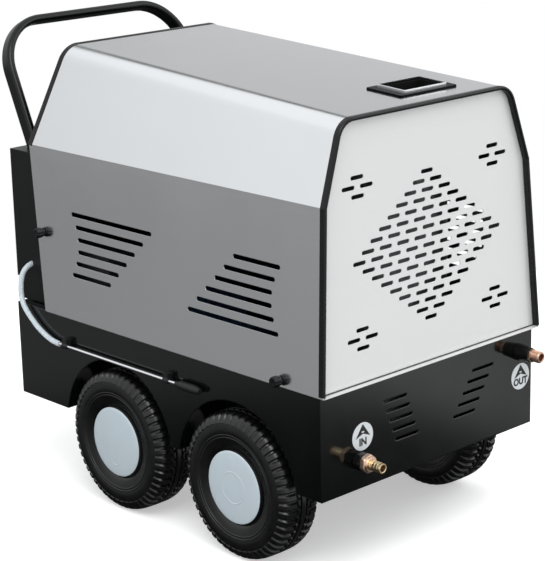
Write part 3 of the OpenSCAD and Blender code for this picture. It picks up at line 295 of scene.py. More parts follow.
def make_hose():
    s = Shader("hose_clear")
    cloud = s.noise(70, 3, 0.6)
    tone = s.blend(s.steps(cloud, 0.35, 0.7), (0.66, 0.7, 0.74), (0.74, 0.77, 0.8))
    roughness = s.steps(cloud, 0.3, 0.75, 0.2, 0.32)
    return s.finish(tone, roughness, 0.0, s.noise(300, 2), 0.0001, 0.2, 0.0,
                    Transmission_Weight=0.2, IOR=1.45, Subsurface_Weight=0.15)


def make_glass(name, color, rough=0.04, transmission=0.95):
    s = Shader(name)
    film = s.noise(40, 3, 0.6)
    tone = s.blend(s.steps(film, 0.4, 0.8), color, times(color, 0.93))
    roughness = s.steps(film, 0.3, 0.8, rough, rough + 0.05)
    return s.finish(tone, roughness, 0.0, s.noise(200, 2), 0.00003, 0.1, 0.0004,
                    Transmission_Weight=transmission, IOR=1.45)


TYRE = make_tyre_rubber()
HOSE = make_hose()
CLEAR = make_glass("clear", (0.93, 0.96, 0.97))
LAMP_GREEN = make_glass("lamp_green", (0.03, 0.42, 0.08), 0.15, 0.35)
LAMP_AMBER = make_glass("lamp_amber", (0.75, 0.32, 0.02), 0.15, 0.35)
LAMP_RED = make_glass("lamp_red", (0.62, 0.02, 0.02), 0.15, 0.35)

NODE_FINISH = {
    BLACK_STEEL: ["chassis"],
    FRAME_BLACK: ["rear_frame", "axle_clamps", "control_box"],
    HANDLE_BLACK: ["handle"],
    STEEL: ["axles", "axle_washers", "handle_bolts"],
    PANEL_PLASTIC: ["control_panel", "cable_gland", "tube_clips", "suction_filter"],
    GAUGE_METAL: ["gauge_case"],
    CLEAR: ["gauge_lens"],
    NEEDLE_RED: ["gauge_needle"],
    KNOB_PLASTIC: ["outlet_boss", "fuel_cap"],
    TUBE_METAL: ["suction_tube"],
    MOTOR_PAINT: ["motor", "fan_cover"],
    ROTOR_STEEL: ["motor_rotor"],
    PUMP_CAST: ["pump_crankcase"],
    BRASS: ["pump_head", "unloader_valve"],
    BOILER_STEEL_PAINTED_SHADE: ["boiler_shell"],
    SOOT_AND_SHADE: ["flue_duct"],
    BURNER_PAINT: ["burner"],
    TANK_PLASTIC: ["fuel_tank", "float_tank"],
    PIPE: ["water_pipes"],
    STAINLESS_FRONT: ["front_panel"],
    RIM_BLACK: [f"{end}_{where}_rim" for end in ("front", "rear") for where in ("left", "right")],
}
for finish, names in NODE_FINISH.items():
    for name in names:
        slots = NODES[name].material_slots
        if not slots:
            NODES[name].data.materials.append(finish)
        for one in slots:
            one.link = "OBJECT"
            one.material = finish


# ---- Mesh helpers ----
def new_mesh(name, verts, faces, materials, sharp=None, face_material=None, clean=True):
    mesh = bpy.data.meshes.new(name)
    mesh.from_pydata([tuple(v) for v in verts], [], faces)
    for material in materials:
        mesh.materials.append(material)
    if face_material:
        for polygon, index in zip(mesh.polygons, face_material):
            polygon.material_index = index
    if clean:
        b = bmesh.new()
        b.from_mesh(mesh)
        bmesh.ops.recalc_face_normals(b, faces=b.faces)
        b.to_mesh(mesh)
        b.free()
    obj = bpy.data.objects.new(name, mesh)
    bpy.context.scene.collection.objects.link(obj)
    if sharp is not None:
        mesh.polygons.foreach_set("use_smooth", [True] * len(mesh.polygons))
        mesh.set_sharp_from_angle(angle=math.radians(sharp))
    return obj


def joined(name, parts, sharp=None):
    """One piece from several meshes, which keep their materials."""
    materials, verts, faces, index = [], [], [], []
    for part in parts:
        base = len(verts)
        table = []
        for material in part.data.materials:
            if material not in materials:
                materials.append(material)
            table.append(materials.index(material))
        verts += [part.matrix_world @ v.co for v in part.data.vertices]
        for polygon in part.data.polygons:
            faces.append([base + v for v in polygon.vertices])
            index.append(table[polygon.material_index] if table else 0)
    obj = new_mesh(name, verts, faces, materials, sharp, index, clean=False)
    for part in parts:
        mesh = part.data
        bpy.data.objects.remove(part)
        bpy.data.meshes.remove(mesh)
    return obj


def cut(obj, cutters):
    tool = joined("cutter", cutters)
    modifier = obj.modifiers.new("cut", "BOOLEAN")
    modifier.operation = "DIFFERENCE"
    modifier.solver = "EXACT"
    modifier.object = tool
    bpy.context.view_layer.update()
    graph = bpy.context.evaluated_depsgraph_get()
    mesh = bpy.data.meshes.new_from_object(obj.evaluated_get(graph))
    obj.modifiers.clear()
    obj.data = mesh
    bpy.data.objects.remove(tool)


def grid(rows, close_rows=False, close_cols=False, flip=False, caps=False):
    """Quads over rows of points of equal length. Caps close the first and the last row."""
    n, m = len(rows), len(rows[0])
    verts = [p for row in rows for p in row]
    faces = []
    for i in range(n if close_rows else n - 1):
        for j in range(m if close_cols else m - 1):
            a, b = i * m + j, i * m + (j + 1) % m
            c, d = ((i + 1) % n) * m + (j + 1) % m, ((i + 1) % n) * m + j
            faces.append([a, d, c, b] if flip else [a, b, c, d])
    if caps:
        faces.append(list(range(m)))
        faces.append([(n - 1) * m + k for k in reversed(range(m))])
    return verts, faces


def sweep(name, frames, profile, materials, sharp):
    """A closed profile of (u, v) points carried along frames of (origin, u axis, v axis)."""
    rows = [[o + u * p[0] + v * p[1] for p in profile] for o, u, v in frames]
    return new_mesh(name, *grid(rows, close_cols=True, caps=True), materials, sharp)


def angles(count):
    return [2 * math.pi * k / count for k in range(count)]


def lathe(name, profile, centre, axis, materials, segments=64, sharp=35, bands=None):
    """Turns (radius, offset along axis) points round a main axis through centre, in millimetres.
    bands gives each profile step's material index."""
    axis = Vector(axis)
    side = Vector((0, 0, 1)) if abs(axis.z) < 0.9 else Vector((1, 0, 0))
    other = axis.cross(side)
    spokes = [side * math.cos(a) + other * math.sin(a) for a in angles(segments)]
    verts, faces, index, rings = [], [], [], []
    for r, h in profile:
        middle = centre + axis * (h * MM)
        ring = [middle + spoke * (r * MM) for spoke in spokes] if r > 1e-6 else [middle]
        rings.append(range(len(verts), len(verts) + len(ring)))
        verts += ring
    for i, (low, high) in enumerate(zip(rings, rings[1:])):
        for k in range(segments):
            n = (k + 1) % segments
            quad = [low[k % len(low)], low[n % len(low)], high[n % len(high)], high[k % len(high)]]
            corners = list(dict.fromkeys(quad))
            if len(corners) > 2:
                faces.append(corners)
                index.append(bands[i] if bands else 0)
    return new_mesh(name, verts, faces, materials, sharp, index)


def shaped(name, profile, centre, along, segments, radius, material, sharp, caps=False):
    """Rings round the x or y axis, like a lathe's, with radius(r, angle) for flutes or flats."""
    rows = []
    for r, h in profile:
        row = []
        for a in angles(segments):
            p, q = radius(r, a) * math.cos(a), radius(r, a) * math.sin(a)
            row.append(centre + Vector((h, p, q) if along == "x" else (p, h, q)) * MM)
        rows.append(row)
    return new_mesh(name, *grid(rows, close_cols=True, caps=caps), [material], sharp)


def prism(name, outline, origin, u, v, depth, materials, bevel=0.0):
    """An outline of (u, v) millimetres, made depth millimetres thick against u x v, with its front edge
    cut back by bevel."""
    u, v = Vector(u), Vector(v)
    out = u.cross(v)
    middle = Vector((sum(p[0] for p in outline), sum(p[1] for p in outline))) / len(outline)

    def ring(shrink, level):
        points = []
        for p in outline:
            d = Vector(p) - middle
            q = middle + d * max(0.0, 1 - shrink / max(d.length, 1e-6))
            points.append(origin + (u * q.x + v * q.y + out * level) * MM)
        return points
    rows = [ring(0, -depth), ring(0, -bevel)]
    if bevel:
        rows.append(ring(bevel, 0))
    return new_mesh(name, *grid(rows, close_cols=True, caps=True), materials, 35)


def arc(cx, cy, r, start, turn, steps):
    """Points on an arc with both its ends, with angles in degrees."""
    return [(cx + r * math.cos(a), cy + r * math.sin(a))
            for a in (math.radians(start + turn * k / steps) for k in range(steps + 1))]


def stadium(length, width, steps=10):
    half, r = (length - width) / 2, width / 2
    return arc(half, 0, r, -90, 180, steps) + arc(-half, 0, r, 90, 180, steps)


def circle(r, count=48):
    return [(r * math.cos(a), r * math.sin(a)) for a in angles(count)]


def rounded_rect(w, d, r, steps=6):
    points = []
    for cx, cy, start in ((1, 1, 0), (-1, 1, 90), (-1, -1, 180), (1, -1, 270)):
        points += arc(cx * (w / 2 - r), cy * (d / 2 - r), r, start, 90, steps)
    return points


def dress(piece, body, slot, *nodes):
    """Rides a piece on its body and hides the CAD nodes that it stands for; its slot is not used."""
    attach(piece, body)
    if nodes:
        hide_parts(*nodes)
    return piece


# ---- Hood ----
def roof_z(y):
    return TOP_Z + (y - FRONT_TOP_Y) * ROOF_SLOPE


def front_edge(z):
    return -OVERHANG + (z - HOOD_Z) * FRONT_LEAN


def rear_edge(z):
    if z <= SHOULDER_Z:
        return REAR_BOTTOM_Y + (REAR_SHOULDER_Y - REAR_BOTTOM_Y) * (z - HOOD_Z) / (SHOULDER_Z - HOOD_Z)
    return REAR_SHOULDER_Y - (REAR_SHOULDER_Y - REAR_TOP_Y) * (z - SHOULDER_Z) / (ROOF_TOP - SHOULDER_Z)


ARC_STEPS = 14
SHOULDER_STEPS = 3
SLANT_ANGLE = math.atan(SLANT_TAPER)
LOWER_ANGLE = math.atan(LOWER_TAPER)


def half_section(y, grow, low):
    """The right half of the hood's section at y, from its bottom to its roof's middle, as (x, z, angle)."""
    top = roof_z(y) + grow
    points = [(BOTTOM_HALF + grow - (low - HOOD_Z) * LOWER_TAPER, low, LOWER_ANGLE)]
    r = 3.0 + grow
    reach = r * math.tan((SLANT_ANGLE - LOWER_ANGLE) / 2)
    cx = SHOULDER_HALF + grow - reach * -math.sin(LOWER_ANGLE) - r * math.cos(LOWER_ANGLE)
    cz = SHOULDER_Z - reach * math.cos(LOWER_ANGLE) - r * math.sin(LOWER_ANGLE)
    for k in range(SHOULDER_STEPS + 1):
        a = LOWER_ANGLE + (SLANT_ANGLE - LOWER_ANGLE) * k / SHOULDER_STEPS
        points.append((cx + r * math.cos(a), cz + r * math.sin(a), a))
    r = HOOD_BEND + grow
    centre_z = top - r
    # the slant line, offset inwards by r, at the arc centre's height
    centre_x = SHOULDER_HALF + grow - (centre_z - SHOULDER_Z) * SLANT_TAPER - r / math.cos(SLANT_ANGLE)
    for k in range(ARC_STEPS + 1):
        a = SLANT_ANGLE + (math.pi / 2 - SLANT_ANGLE) * k / ARC_STEPS
        points.append((centre_x + r * math.cos(a), centre_z + r * math.sin(a), a))
    points.append((0.0, top, math.pi / 2))
    return points


def edge_points(edge, grow=0.0, low=HOOD_Z, inset=0.0):
    """The section where it meets a front or rear edge, from left bottom to right, as (point, normal)."""
    right = []
    for i in range(len(half_section(0.0, grow, low))):
        y = edge(HOOD_Z)
        for _ in range(8):
            x, z, a = half_section(y, grow, low)[i]
            y = edge(z) + inset
        right.append((x, y, z, a))
    points = [(at(-x, y, z), Vector((-math.cos(a), 0, math.sin(a)))) for x, y, z, a in right[:-1]]
    points += [(at(x, y, z), Vector((math.cos(a), 0, math.sin(a)))) for x, y, z, a in reversed(right)]
    return points


def make_hood():
    columns = 9
    shells = []
    for grow in (0.0, -HOOD_T):
        front = edge_points(front_edge, grow, HOOD_Z, 2.0)
        rear = edge_points(rear_edge, grow, HOOD_Z)
        shells.append([[f[0].lerp(r[0], k / (columns - 1)) for k in range(columns)]
                       for f, r in zip(front, rear)])
    verts, faces = grid(shells[0])
    base = len(verts)
    more, back = grid(shells[1], flip=True)
    verts += more
    faces += [[base + v for v in face] for face in back]
    # the sheet's thickness at its front, rear, left and right edges
    for line in (range(0, base, columns), range(columns - 1, base, columns),
                 range(columns), range(base - columns, base)):
        faces += [[a, b, base + b, base + a] for a, b in zip(line, line[1:])]
    hood = new_mesh("hood_shell_sheet", verts, faces, [STAINLESS_SIDE], 35)

    cutters = []
    for side in (LEFT, RIGHT):
        holes = [(circle(KNOB_HOLE_R, 24), y, z) for y, z in (FRONT_KNOB, REAR_KNOB)]
        for i in range(SIDE_SLOTS):
            z = HOOD_Z + SLOT_TOP - SLOT_PITCH * i
            bow = 72 / 25 * i * (5 - i)
            for y0, y1 in ((94 + bow, 206 + 22 * i), (414 + 21.8 * i, 638 - i - bow)):
                holes.append((stadium(y1 - y0, SLOT_W), (y0 + y1) / 2, z))
        for outline, y, z in holes:
            cutters.append(prism("hole", outline, at(side * 300, y, z), (0, side, 0), (0, 0, 1), 100, []))
    tilt = Matrix.Rotation(ROOF_ANGLE, 3, "X")
    centre = at(FLUE_X, FLUE_Y, roof_z(FLUE_Y)) + tilt @ Vector((0, 0, 20 * MM))
    cutters.append(prism("flue_hole", rounded_rect(COLLAR_W + 0.2, COLLAR_D + 0.2, 3),
                         centre, tilt @ Vector((1, 0, 0)), tilt @ Vector((0, 1, 0)), 40, []))
    cut(hood, cutters)

    # the fold along the bottom, notched round the front knob's bracket
    folds = []
    for side in (LEFT, RIGHT):
        for y0, y1 in ((16.0, 69.0), (105.0, 690.0)):
            x0, x1 = sorted((side * (BOTTOM_HALF - HOOD_T - 17), side * (BOTTOM_HALF - HOOD_T + 0.2)))
            outline = rounded_rect(x1 - x0, y1 - y0, 2.0, 3)
            folds.append(prism("fold", outline, at((x0 + x1) / 2, (y0 + y1) / 2, HOOD_Z + HOOD_T),
                               (1, 0, 0), (0, 1, 0), HOOD_T, [STAINLESS_SIDE]))
    hood = joined("hood_shell_sheet", [hood] + folds, 35)
    dress(hood, "hood", "stainless", "hood_shell")


def trim_frames(points, plane_normal):
    """Frames along an edge: the axes are outwards in the edge's plane and the plane's normal."""
    frames = []
    normal = Vector(plane_normal).normalized()
    for point, outward in points:
        u = (outward - normal * outward.dot(normal)).normalized()
        frames.append((point, u * MM, normal * MM))
    return frames


def bead(width_out, width_in, depth, r, web, steps=5):
    """A U-channel with round front corners: (outwards, towards the sheet) in millimetres."""
    points = [(width_out, depth)] + arc(width_out - r, r, r, 0, -90, steps)
    points += arc(r - width_in, r, r, -90, -90, steps)
    return points + [(-width_in, depth), (-HOOD_T - 0.05, depth), (-HOOD_T - 0.05, web),
                     (0.05, web), (0.05, depth)]


def make_trims():
    front = edge_points(front_edge, 0.0, HOOD_Z + TRIM_START)
    frames = trim_frames(front, (0, 1, -FRONT_LEAN))
    piece = sweep("front_edge_trim", frames, bead(TRIM_LIP, TRIM_FACE - TRIM_LIP, TRIM_DEPTH, 3.2, 1.95),
                  [TRIM_RUBBER], 30)
    dress(piece, "hood", "trim_rubber", "front_trim")

    rear = [p for p in edge_points(rear_edge, 0.0, HOOD_Z) if p[0].z >= (SHOULDER_Z - 1) * MM]
    lean = (REAR_SHOULDER_Y - REAR_TOP_Y) / (ROOF_TOP - SHOULDER_Z)
    frames = [(o - v * 3.0, u, v) for o, u, v in trim_frames(rear, (0, -1, -lean))]
    piece = sweep("rear_edge_trim", frames, bead(TRIM_LIP, 4.0, 11.0, 2.2, 2.9), [TRIM_RUBBER], 30)
    dress(piece, "hood", "trim_rubber", "rear_trim")


def make_panel_crease_shade():
    """A thin dark bead in the corner of the front panel and its bottom lip: a painted shade line along that
    crease.
    """
    radius = 0.9
    middle = at(0, -OVERHANG + PANEL_RECESS - radius + 0.05, HOOD_Z + HOOD_T + radius - 0.05)
    half = BOTTOM_HALF - TRIM_FACE + TRIM_LIP - 0.5
    profile = [(0, -half), (radius, -half), (radius, half), (0, half)]
    bead_piece = lathe("panel_crease_shade_bead", profile, middle, (1, 0, 0), [TRIM_RUBBER], 12)
    dress(bead_piece, "hood", "trim_rubber")


def make_flue():
    tilt = Matrix.Rotation(ROOF_ANGLE, 3, "X")
    u, v, n = (tilt @ Vector(a) for a in ((1, 0, 0), (0, 1, 0), (0, 0, 1)))
    base = at(FLUE_X, FLUE_Y, roof_z(FLUE_Y))

    def ring(w, d, r, level):
        return [base + (u * x + v * y + n * level) * MM for x, y in rounded_rect(w, d, r)]
    rows = [ring(COLLAR_W, COLLAR_D, 3, 0.05), ring(FLUE_W, FLUE_D, 4, 0.05), ring(FLUE_W, FLUE_D, 4, 2.3),
            ring(FLUE_W - 1.4, FLUE_D - 1.4, 3.4, 3.0), ring(COLLAR_W, COLLAR_D, 3, 3.0)]
    flange = new_mesh("flue_flange", *grid(rows, close_rows=True, close_cols=True), [FLUE_BLACK], 35)
    dress(flange, "hood", "flue_metal", "flue_rim")
    wall = 2.0
    bore_w, bore_d = COLLAR_W - 2 * wall, COLLAR_D - 2 * wall
    rows = [ring(COLLAR_W, COLLAR_D, 3, -FLUE_H), ring(COLLAR_W, COLLAR_D, 3, FLUE_H - 0.5),
            ring(COLLAR_W - 1.0, COLLAR_D - 1.0, 2.6, FLUE_H), ring(bore_w, bore_d, 1.5, FLUE_H),
            ring(bore_w, bore_d, 1.5, FLUE_H - 1.5), ring(bore_w, bore_d, 1.5, -FLUE_H)]
    verts, faces = grid(rows, close_rows=True, close_cols=True)
    per_row = len(rows[0])
    # The collar's bore is sooty and painted near-black as shade inside the flue's mouth.
    index = [1 if i // per_row in (4, 5) else 0 for i in range(len(faces))]
    collar = new_mesh("flue_collar", verts, faces, [FLUE_EDGE, SOOT_AND_SHADE], 35, index)
    dress(collar, "hood", "flue_metal", "flue_rim")


# ---- Hood knobs ----
def hood_half(z):
    if z < SHOULDER_Z:
        return BOTTOM_HALF - (z - HOOD_Z) * LOWER_TAPER
    return SHOULDER_HALF - (z - SHOULDER_Z) * SLANT_TAPER


def make_hood_knob(name, side, spot, inner):
    """A stud through the hood's wall and a grip with eight hollows round it."""
    surface = hood_half(spot[1])
    centre = at(0, *spot)
    stud = lathe("stud", [(0, inner), (3.4, inner), (4, inner + 1), (4, surface + 1), (7.9, surface + 1),
                          (8, surface + 1.4), (8, surface + 3.4), (7.4, surface + 4), (6.5, surface + 4.2),
                          (0, surface + 4.2)], centre, (side, 0, 0), [KNOB_PLASTIC], 32)
    lobes, hollow, neck_r = 8, 1.1, 7.0

    def radius(r, a):
        dent = hollow * max(0.0, math.cos(lobes * a)) ** 1.5 * min(1.0, max(0.0, (r - neck_r) / 2))
        return max(r, 0.01) - dent
    profile = [(0.0, 4.0), (7.6, 4.0), (8.6, 4.5), (9.2, 5.7), (9.5, 7.5), (9.5, 13.6), (9.2, 15.6),
               (8.3, 17.0), (7.0, 17.4), (5.2, 17.1), (0.0, 16.9)]
    grip = shaped("grip", [(r, side * (surface + h)) for r, h in profile], centre, "x", 96, radius,
                  KNOB_PLASTIC, 40)
    dress(joined(name + "_grip", [stud, grip], 40), name, "knob_plastic", name)


# ---- Wheels ----
def make_tyre(name, side, axle_y):
    """A carcass with raised rings on its walls, a centre rib and staggered blocks at the shoulders."""
    blocks, steps_per_block, raised_steps = 52, 6, 4
    tread_half = TYRE_HALF * 0.68
    shoulder_r, shoulder_rise = 111.5, 6.0
    # (radius, offset) from the bead over the wall and the shoulder to the middle of the tread
    half = {
        "wall": [(BEAD_R, 34.0), (BEAD_R + 2.0, 35.4), (BEAD_R + 5, 36.5), (78.0, 37.9), (84.0, 39.4),
                 (85.6, 39.8), (86.2, 40.7), (87.6, 40.8), (88.2, 40.1), (90.4, 40.5), (91.0, 41.3),
                 (92.2, 41.4), (92.8, 40.9), (96.0, 41.3), (100.0, 41.4), (104.0, 41.2), (108.0, 40.8),
                 (111.0, 40.2)],
        "shoulder": [(111.4, 40.1), (111.9, 40.0), (114.5, 39.0), (117.5, 37.4), (120.8, 35.0),
                     (123.2, 32.0), (124.6, tread_half)],
        "block": [(125.2, 24.0), (125.4, 21.0), (125.5, 20.2), (125.6, 17.0)],
        "groove": [(125.7, 16.2), (125.8, 13.4)],
        "chain": [(125.8, 12.6), (125.9, 8.4)],
        "inner groove": [(125.9, 7.6), (126.0, 4.6)],
        "rib": [(126.0, 3.9), (126.0, 0.0)],
    }
    outside = [(r, -w, kind) for kind, points in half.items() for r, w in points]
    outside += [(r, -w, kind) for r, w, kind in reversed(outside[:-1])]
    inside = [(BEAD_R, 26.0), (BEAD_R + 8, 22.0), (84, 31.5), (108, 34.0), (118, tread_half - 2), (118, 0.0)]
    inside += [(r, -w) for r, w in reversed(inside[:-1])]

    def raised(r, w, kind, step):
        phase = (step + (steps_per_block // 2 if w < 0 else 0)) % steps_per_block
        up = out = 0.0
        if kind == "shoulder" and phase < raised_steps:
            # the blocks grow square from the wall to the tread
            share = min(1.0, max(0.0, (r - shoulder_r) / shoulder_rise))
            up = 3.9 * share
            out = 1.9 * (1 - share) if r > shoulder_r else 0.0
        elif kind == "block" and phase < raised_steps:
            up = 4.2
        elif kind == "chain":
            up = 4.0 if (phase + 2) % steps_per_block < steps_per_block - 1 else 0.6
        elif kind == "rib":
            up = 4.0
        if abs(w) < 30:
            up *= 1 - 0.02 * abs(w) / 30
        return min(WHEEL_R - 0.02, r + up), math.copysign(min(TYRE_HALF - 0.05, abs(w) + out), w)
    centre = at(side * TRACK_HALF, axle_y, WHEEL_R)
    turns = angles(blocks * steps_per_block)
    rows = [[raised(*point, step) for step in range(len(turns))] for point in outside]
    rows += [[point] * len(turns) for point in inside]
    points = [[centre + Vector((side * w, r * math.cos(a), r * math.sin(a))) * MM
               for (r, w), a in zip(row, turns)] for row in rows]
    tyre = new_mesh(name + "_tyre_tread", *grid(points, close_rows=True, close_cols=True), [TYRE], 28)
    dress(tyre, name + "_wheel", "tyre", name + "_tyre")


def make_hub_cap(name, side, axle_y):
    """A domed cap in a black skirt, with a pressed ring, which sits low on the rear wheels."""
    edge, r = TYRE_HALF - 3, BEAD_R - 3
    skirt = [(r - 2.5, 18.0), (r, 18.0), (r, edge - 4.0), (r - 0.2, edge - 1.6)]
    dome = [(r - 0.8, edge - 0.4), (r - 2.2, edge + 0.4), (r - 5.0, edge + 0.9), (r - 12, edge + 1.6),
            (r - 20, edge + 2.2), (r - 30, edge + 2.8)]
    front = name.startswith("front")
    if front:
        dome += [(29.4, edge + 3.0), (28.8, edge + 3.45), (27.0, edge + 3.55), (26.4, edge + 3.15)]
    dome += [(18, edge + 3.5), (8, edge + 3.7), (0, edge + 3.75)]
    under = [(0, edge + 1.3), (20, edge + 1.1), (r - 30, edge + 0.4), (r - 12, edge - 0.9),
             (r - 4, edge - 2.4), (r - 2.5, edge - 5), (r - 2.5, 18.0)]
    bands = [1] * len(skirt) + [0] * (len(dome) - 1) + [1] * len(under)
    centre = at(side * TRACK_HALF, axle_y, WHEEL_R)
    parts = [lathe("dish", skirt + dome + under, centre, (side, 0, 0), [HUB_CAP, RIM_BLACK], 96, 30, bands)]
    if not front:
        mark_drop = 32.0
        spot = centre + Vector((side * (edge + 1.0), 0.0, -mark_drop)) * MM
        ring = [(11.0, -1.5), (11.0, 1.35), (11.5, 1.75), (12.5, 1.75), (13.0, 1.35), (13.0, -1.5)]
        parts.append(lathe("mark", ring, spot, (side, 0, 0), [HUB_CAP], 40))
    dress(joined(name + "_hub_cap_dish", parts, 30), name + "_wheel", "hub_cap", name + "_hub_cap")


# ---- Suction hose and heating coil ----
HOSE_R, HOSE_WALL = 5.0, 1.5
TUBE_X, TUBE_Z = -271.0, 283.0
HOSE_ROUTE = [
    (-240, 787.5, 408.5), (-249, 788, 405), (-257, 788.5, 398.5), (-263, 788.5, 389),
    (-267, 787.5, 375.5), (-269, 786, 361), (-270, 783, 348), (TUBE_X, 776, 335.5),
    (TUBE_X, 766, 324.5), (TUBE_X, 753, 314), (TUBE_X, 740, 304.5), (TUBE_X, 724, 296),
    (TUBE_X, 707, 289), (TUBE_X, 690, 284.5), (TUBE_X, 672, TUBE_Z),
]


def spline_points(route, steps):
    points = [Vector(p) for p in route]
    made = []
    for i in range(len(points) - 1):
        a, b = points[max(i - 1, 0)], points[i]
        c, d = points[i + 1], points[min(i + 2, len(points) - 1)]
        for k in range(steps):
            t = k / steps
            made.append(0.5 * (2 * b + (c - a) * t + (2 * a - 5 * b + 4 * c - d) * t * t
                               + (3 * b - a - 3 * c + d) * t * t * t))
    return made + [points[-1]]


def tube_frames(points, first, start_dir, end_dir):
    frames, last = [], Vector(first)
    for i, p in enumerate(points):
        if i == 0:
            t = Vector(start_dir)
        elif i == len(points) - 1:
            t = Vector(end_dir)
        else:
            t = (points[i + 1] - points[i - 1]).normalized()
        u = (last - t * last.dot(t)).normalized()
        frames.append((p, u, t.cross(u)))
        last = u
    return frames


def tube(name, frames, outer, inner, sides, materials):
    """A pipe with open ends: out along its outside and back along its bore."""
    def ring(r, p, u, v):
        return [at(*(p + (u * math.cos(a) + v * math.sin(a)) * r)) for a in angles(sides)]
    rows = [ring(outer, *frame) for frame in frames] + [ring(inner, *frame) for frame in reversed(frames)]
    return new_mesh(name, *grid(rows, close_rows=True, close_cols=True), materials, 40)


def make_hose_piece():
    frames = tube_frames(spline_points(HOSE_ROUTE, 6), (0, 1, 0), (-1, 0, 0), (0, -1, 0))
    hose = tube("suction_hose_tube", frames, HOSE_R, HOSE_R - HOSE_WALL, 24, [HOSE])
    dress(hose, "chassis", "hose", "suction_hose")


def make_coil():
    turns, steps, r, pipe_r, pipe_t = 14, 40, 121.0, 9.0, 2
    boiler_x, boiler_y, boiler_top, head_room = 30, 186, 690, 60
    tray_floor, boiler_foot, boiler_t, gap = 159.5, 15, 3, 0.3
    # the part's own pipe has six sides and lies on one of them
    low = tray_floor + boiler_foot + boiler_t + gap + pipe_r * math.cos(math.radians(30))
    pitch = (boiler_top - head_room - low) / turns
    around = [2 * math.pi * i / steps for i in range(turns * steps + 1)]
    points = [Vector((boiler_x + r * math.cos(a), boiler_y + r * math.sin(a), low + pitch * i / steps))
              for i, a in enumerate(around)]
    frames = tube_frames(points, (1, 0, 0), (0, 1, 0), (0, 1, 0))
    coil = tube("heating_coil_pipe", frames, pipe_r, pipe_r - pipe_t, 12, [COIL_STEEL])
    dress(coil, "chassis", "coil_steel", "heating_coil")


# ---- Water connections ----
def hex_nut(across, y0, y1, x, z, material, turn=0.0, chamfer=1.4):
    """A hexagon along Y whose two faces are turned down to a chamfer."""
    corner_r, face_r = across / math.sqrt(3), across / 2 * 0.97
    length = y1 - y0
    profile = []
    for h in (0.0, chamfer * 0.35, chamfer, length - chamfer, length - chamfer * 0.35, length):
        share = min(1.0, min(h, length - h) / chamfer)
        profile.append((face_r + (corner_r - face_r) * share ** 0.7, h))

    def radius(r, a):
        return min(across / 2 / math.cos((a - turn) % (math.pi / 3) - math.pi / 6), r)
    return shaped("hex_nut", profile, at(x, y0, z), "y", 48, radius, material, 24, caps=True)


def make_inlet():
    x, z = -178.0, 208.0

    def turn(profile, material, segments=48, sharp=35):
        return lathe("turned", profile, at(x, 0, z), (0, 1, 0), [material], segments, sharp)
    tail = [(6.0, 26), (8.7, 26), (8.9, 25.5), (8.9, 0), (8.5, -30.5), (8.5, -31.5), (8.2, -32.2)]
    for barb_y in (-37.0, -43.0):
        tail += [(8.8, barb_y), (8.3, barb_y - 0.4), (8.3, barb_y - 1.2)]
    tail += [(8.8, -49.0), (8.3, -49.4), (8.6, -54.8), (8.2, -56.0), (6.6, -56.0), (6.0, -55.4), (6.0, 26)]
    parts = [
        hex_nut(27, -15, 0, x, z, KNOB_PLASTIC, 0.0, 1.8),
        turn([(11, -14.9), (11, -18.2)], BRASS, 40),
        hex_nut(29, -27, -17.5, x, z, BRASS, 0.35, 1.6),
        turn([(13.2, -26.8), (13.2, -29.0), (12.4, -30.6), (9.0, -31.0)], BRASS),
        turn(tail, BRIGHT_BRASS, sharp=30),
        hex_nut(26, 2.5, 10, x, z, BRASS, 0.0, 1.2),
    ]
    dress(joined("water_inlet_fitting", parts, 28), "chassis", "brass", "water_inlet")


def make_outlet():
    x, z = 228.0, 296.0
    body = [(6.5, 24), (10.6, 24), (10.8, 23.5), (10.8, -28.5), (9.2, -32.5), (9.2, -33.2)]
    thread_pitch, y = 1.65, -33.4
    while y > -48.0:
        body += [(9.5, y), (10.5, y - 0.7), (10.5, y - 0.95), (9.5, y - 1.6)]
        y -= thread_pitch
    body += [(9.3, -49.0), (8.6, -50.0), (6.9, -50.0), (6.5, -49.4), (6.5, 24)]
    parts = [
        hex_nut(22, -33, -28, x, z, COPPER_BRASS, 0.3, 1.0),
        hex_nut(28, 2.5, 10, x, z, BRASS, 0.0, 1.2),
        lathe("body", body, at(x, 0, z), (0, 1, 0), [COPPER_BRASS], 48, 30),
    ]
    dress(joined("water_outlet_fitting", parts, 28), "chassis", "brass", "water_outlet")


# ---- Printed signs ----
TO_FRONT = (1, 0, 0), (0, 0, 1)
TO_REAR = (-1, 0, 0), (0, 0, 1)


def lettering(name, text, size, origin, facing, material, slot, lift=0.12, bold=0.0):
    """Raised generic lettering: a flat text object lying on a front or rear face."""
    curve = bpy.data.curves.new(name, "FONT")
    curve.body = text
    curve.size = size * MM
    curve.extrude = lift * MM
    curve.offset = bold * MM
    curve.align_x = "CENTER"
    curve.align_y = "CENTER"
    curve.resolution_u = 3
    curve.materials.append(material)
    obj = bpy.data.objects.new(name, curve)
    bpy.context.scene.collection.objects.link(obj)
    u, v = (Vector(a) for a in facing)
    axes = Matrix((u, v, u.cross(v))).transposed().to_4x4()
    obj.matrix_world = Matrix.Translation(origin) @ axes
    dress(obj, "chassis", slot)


def make_marker(name, x, z, word):
    """A round white plate with a plain arrow head, hollow at its base, over its word."""
    plate_r, front, print_t = 24, 0.8, 0.18
    plate = prism(name + "_plate", circle(plate_r, 72), at(x, -front, z), *TO_FRONT, front - 0.02,
                  [MARKER], 0.3)
    dress(plate, "chassis", "marker", "marker_plates")
    outline = [(-17.0, -1.5), (0.0, 5.0), (17.0, -1.5), (0.0, 21.5)]
    arrow = prism(name + "_arrow", outline, at(x, -front - print_t, z), *TO_FRONT, print_t, [INK])
    dress(arrow, "chassis", "marker")
    gap = prism(name + "_arrow_gap", rounded_rect(6.0, 2.4, 1.0, 4), at(x, -front - 0.24, z + 8.0),
                *TO_FRONT, 0.1, [MARKER])
    dress(gap, "chassis", "marker")
    lettering(name + "_word", word, 17.5, at(x, -front - 0.1, z - 9.5), TO_FRONT, INK, "marker", bold=0.7)


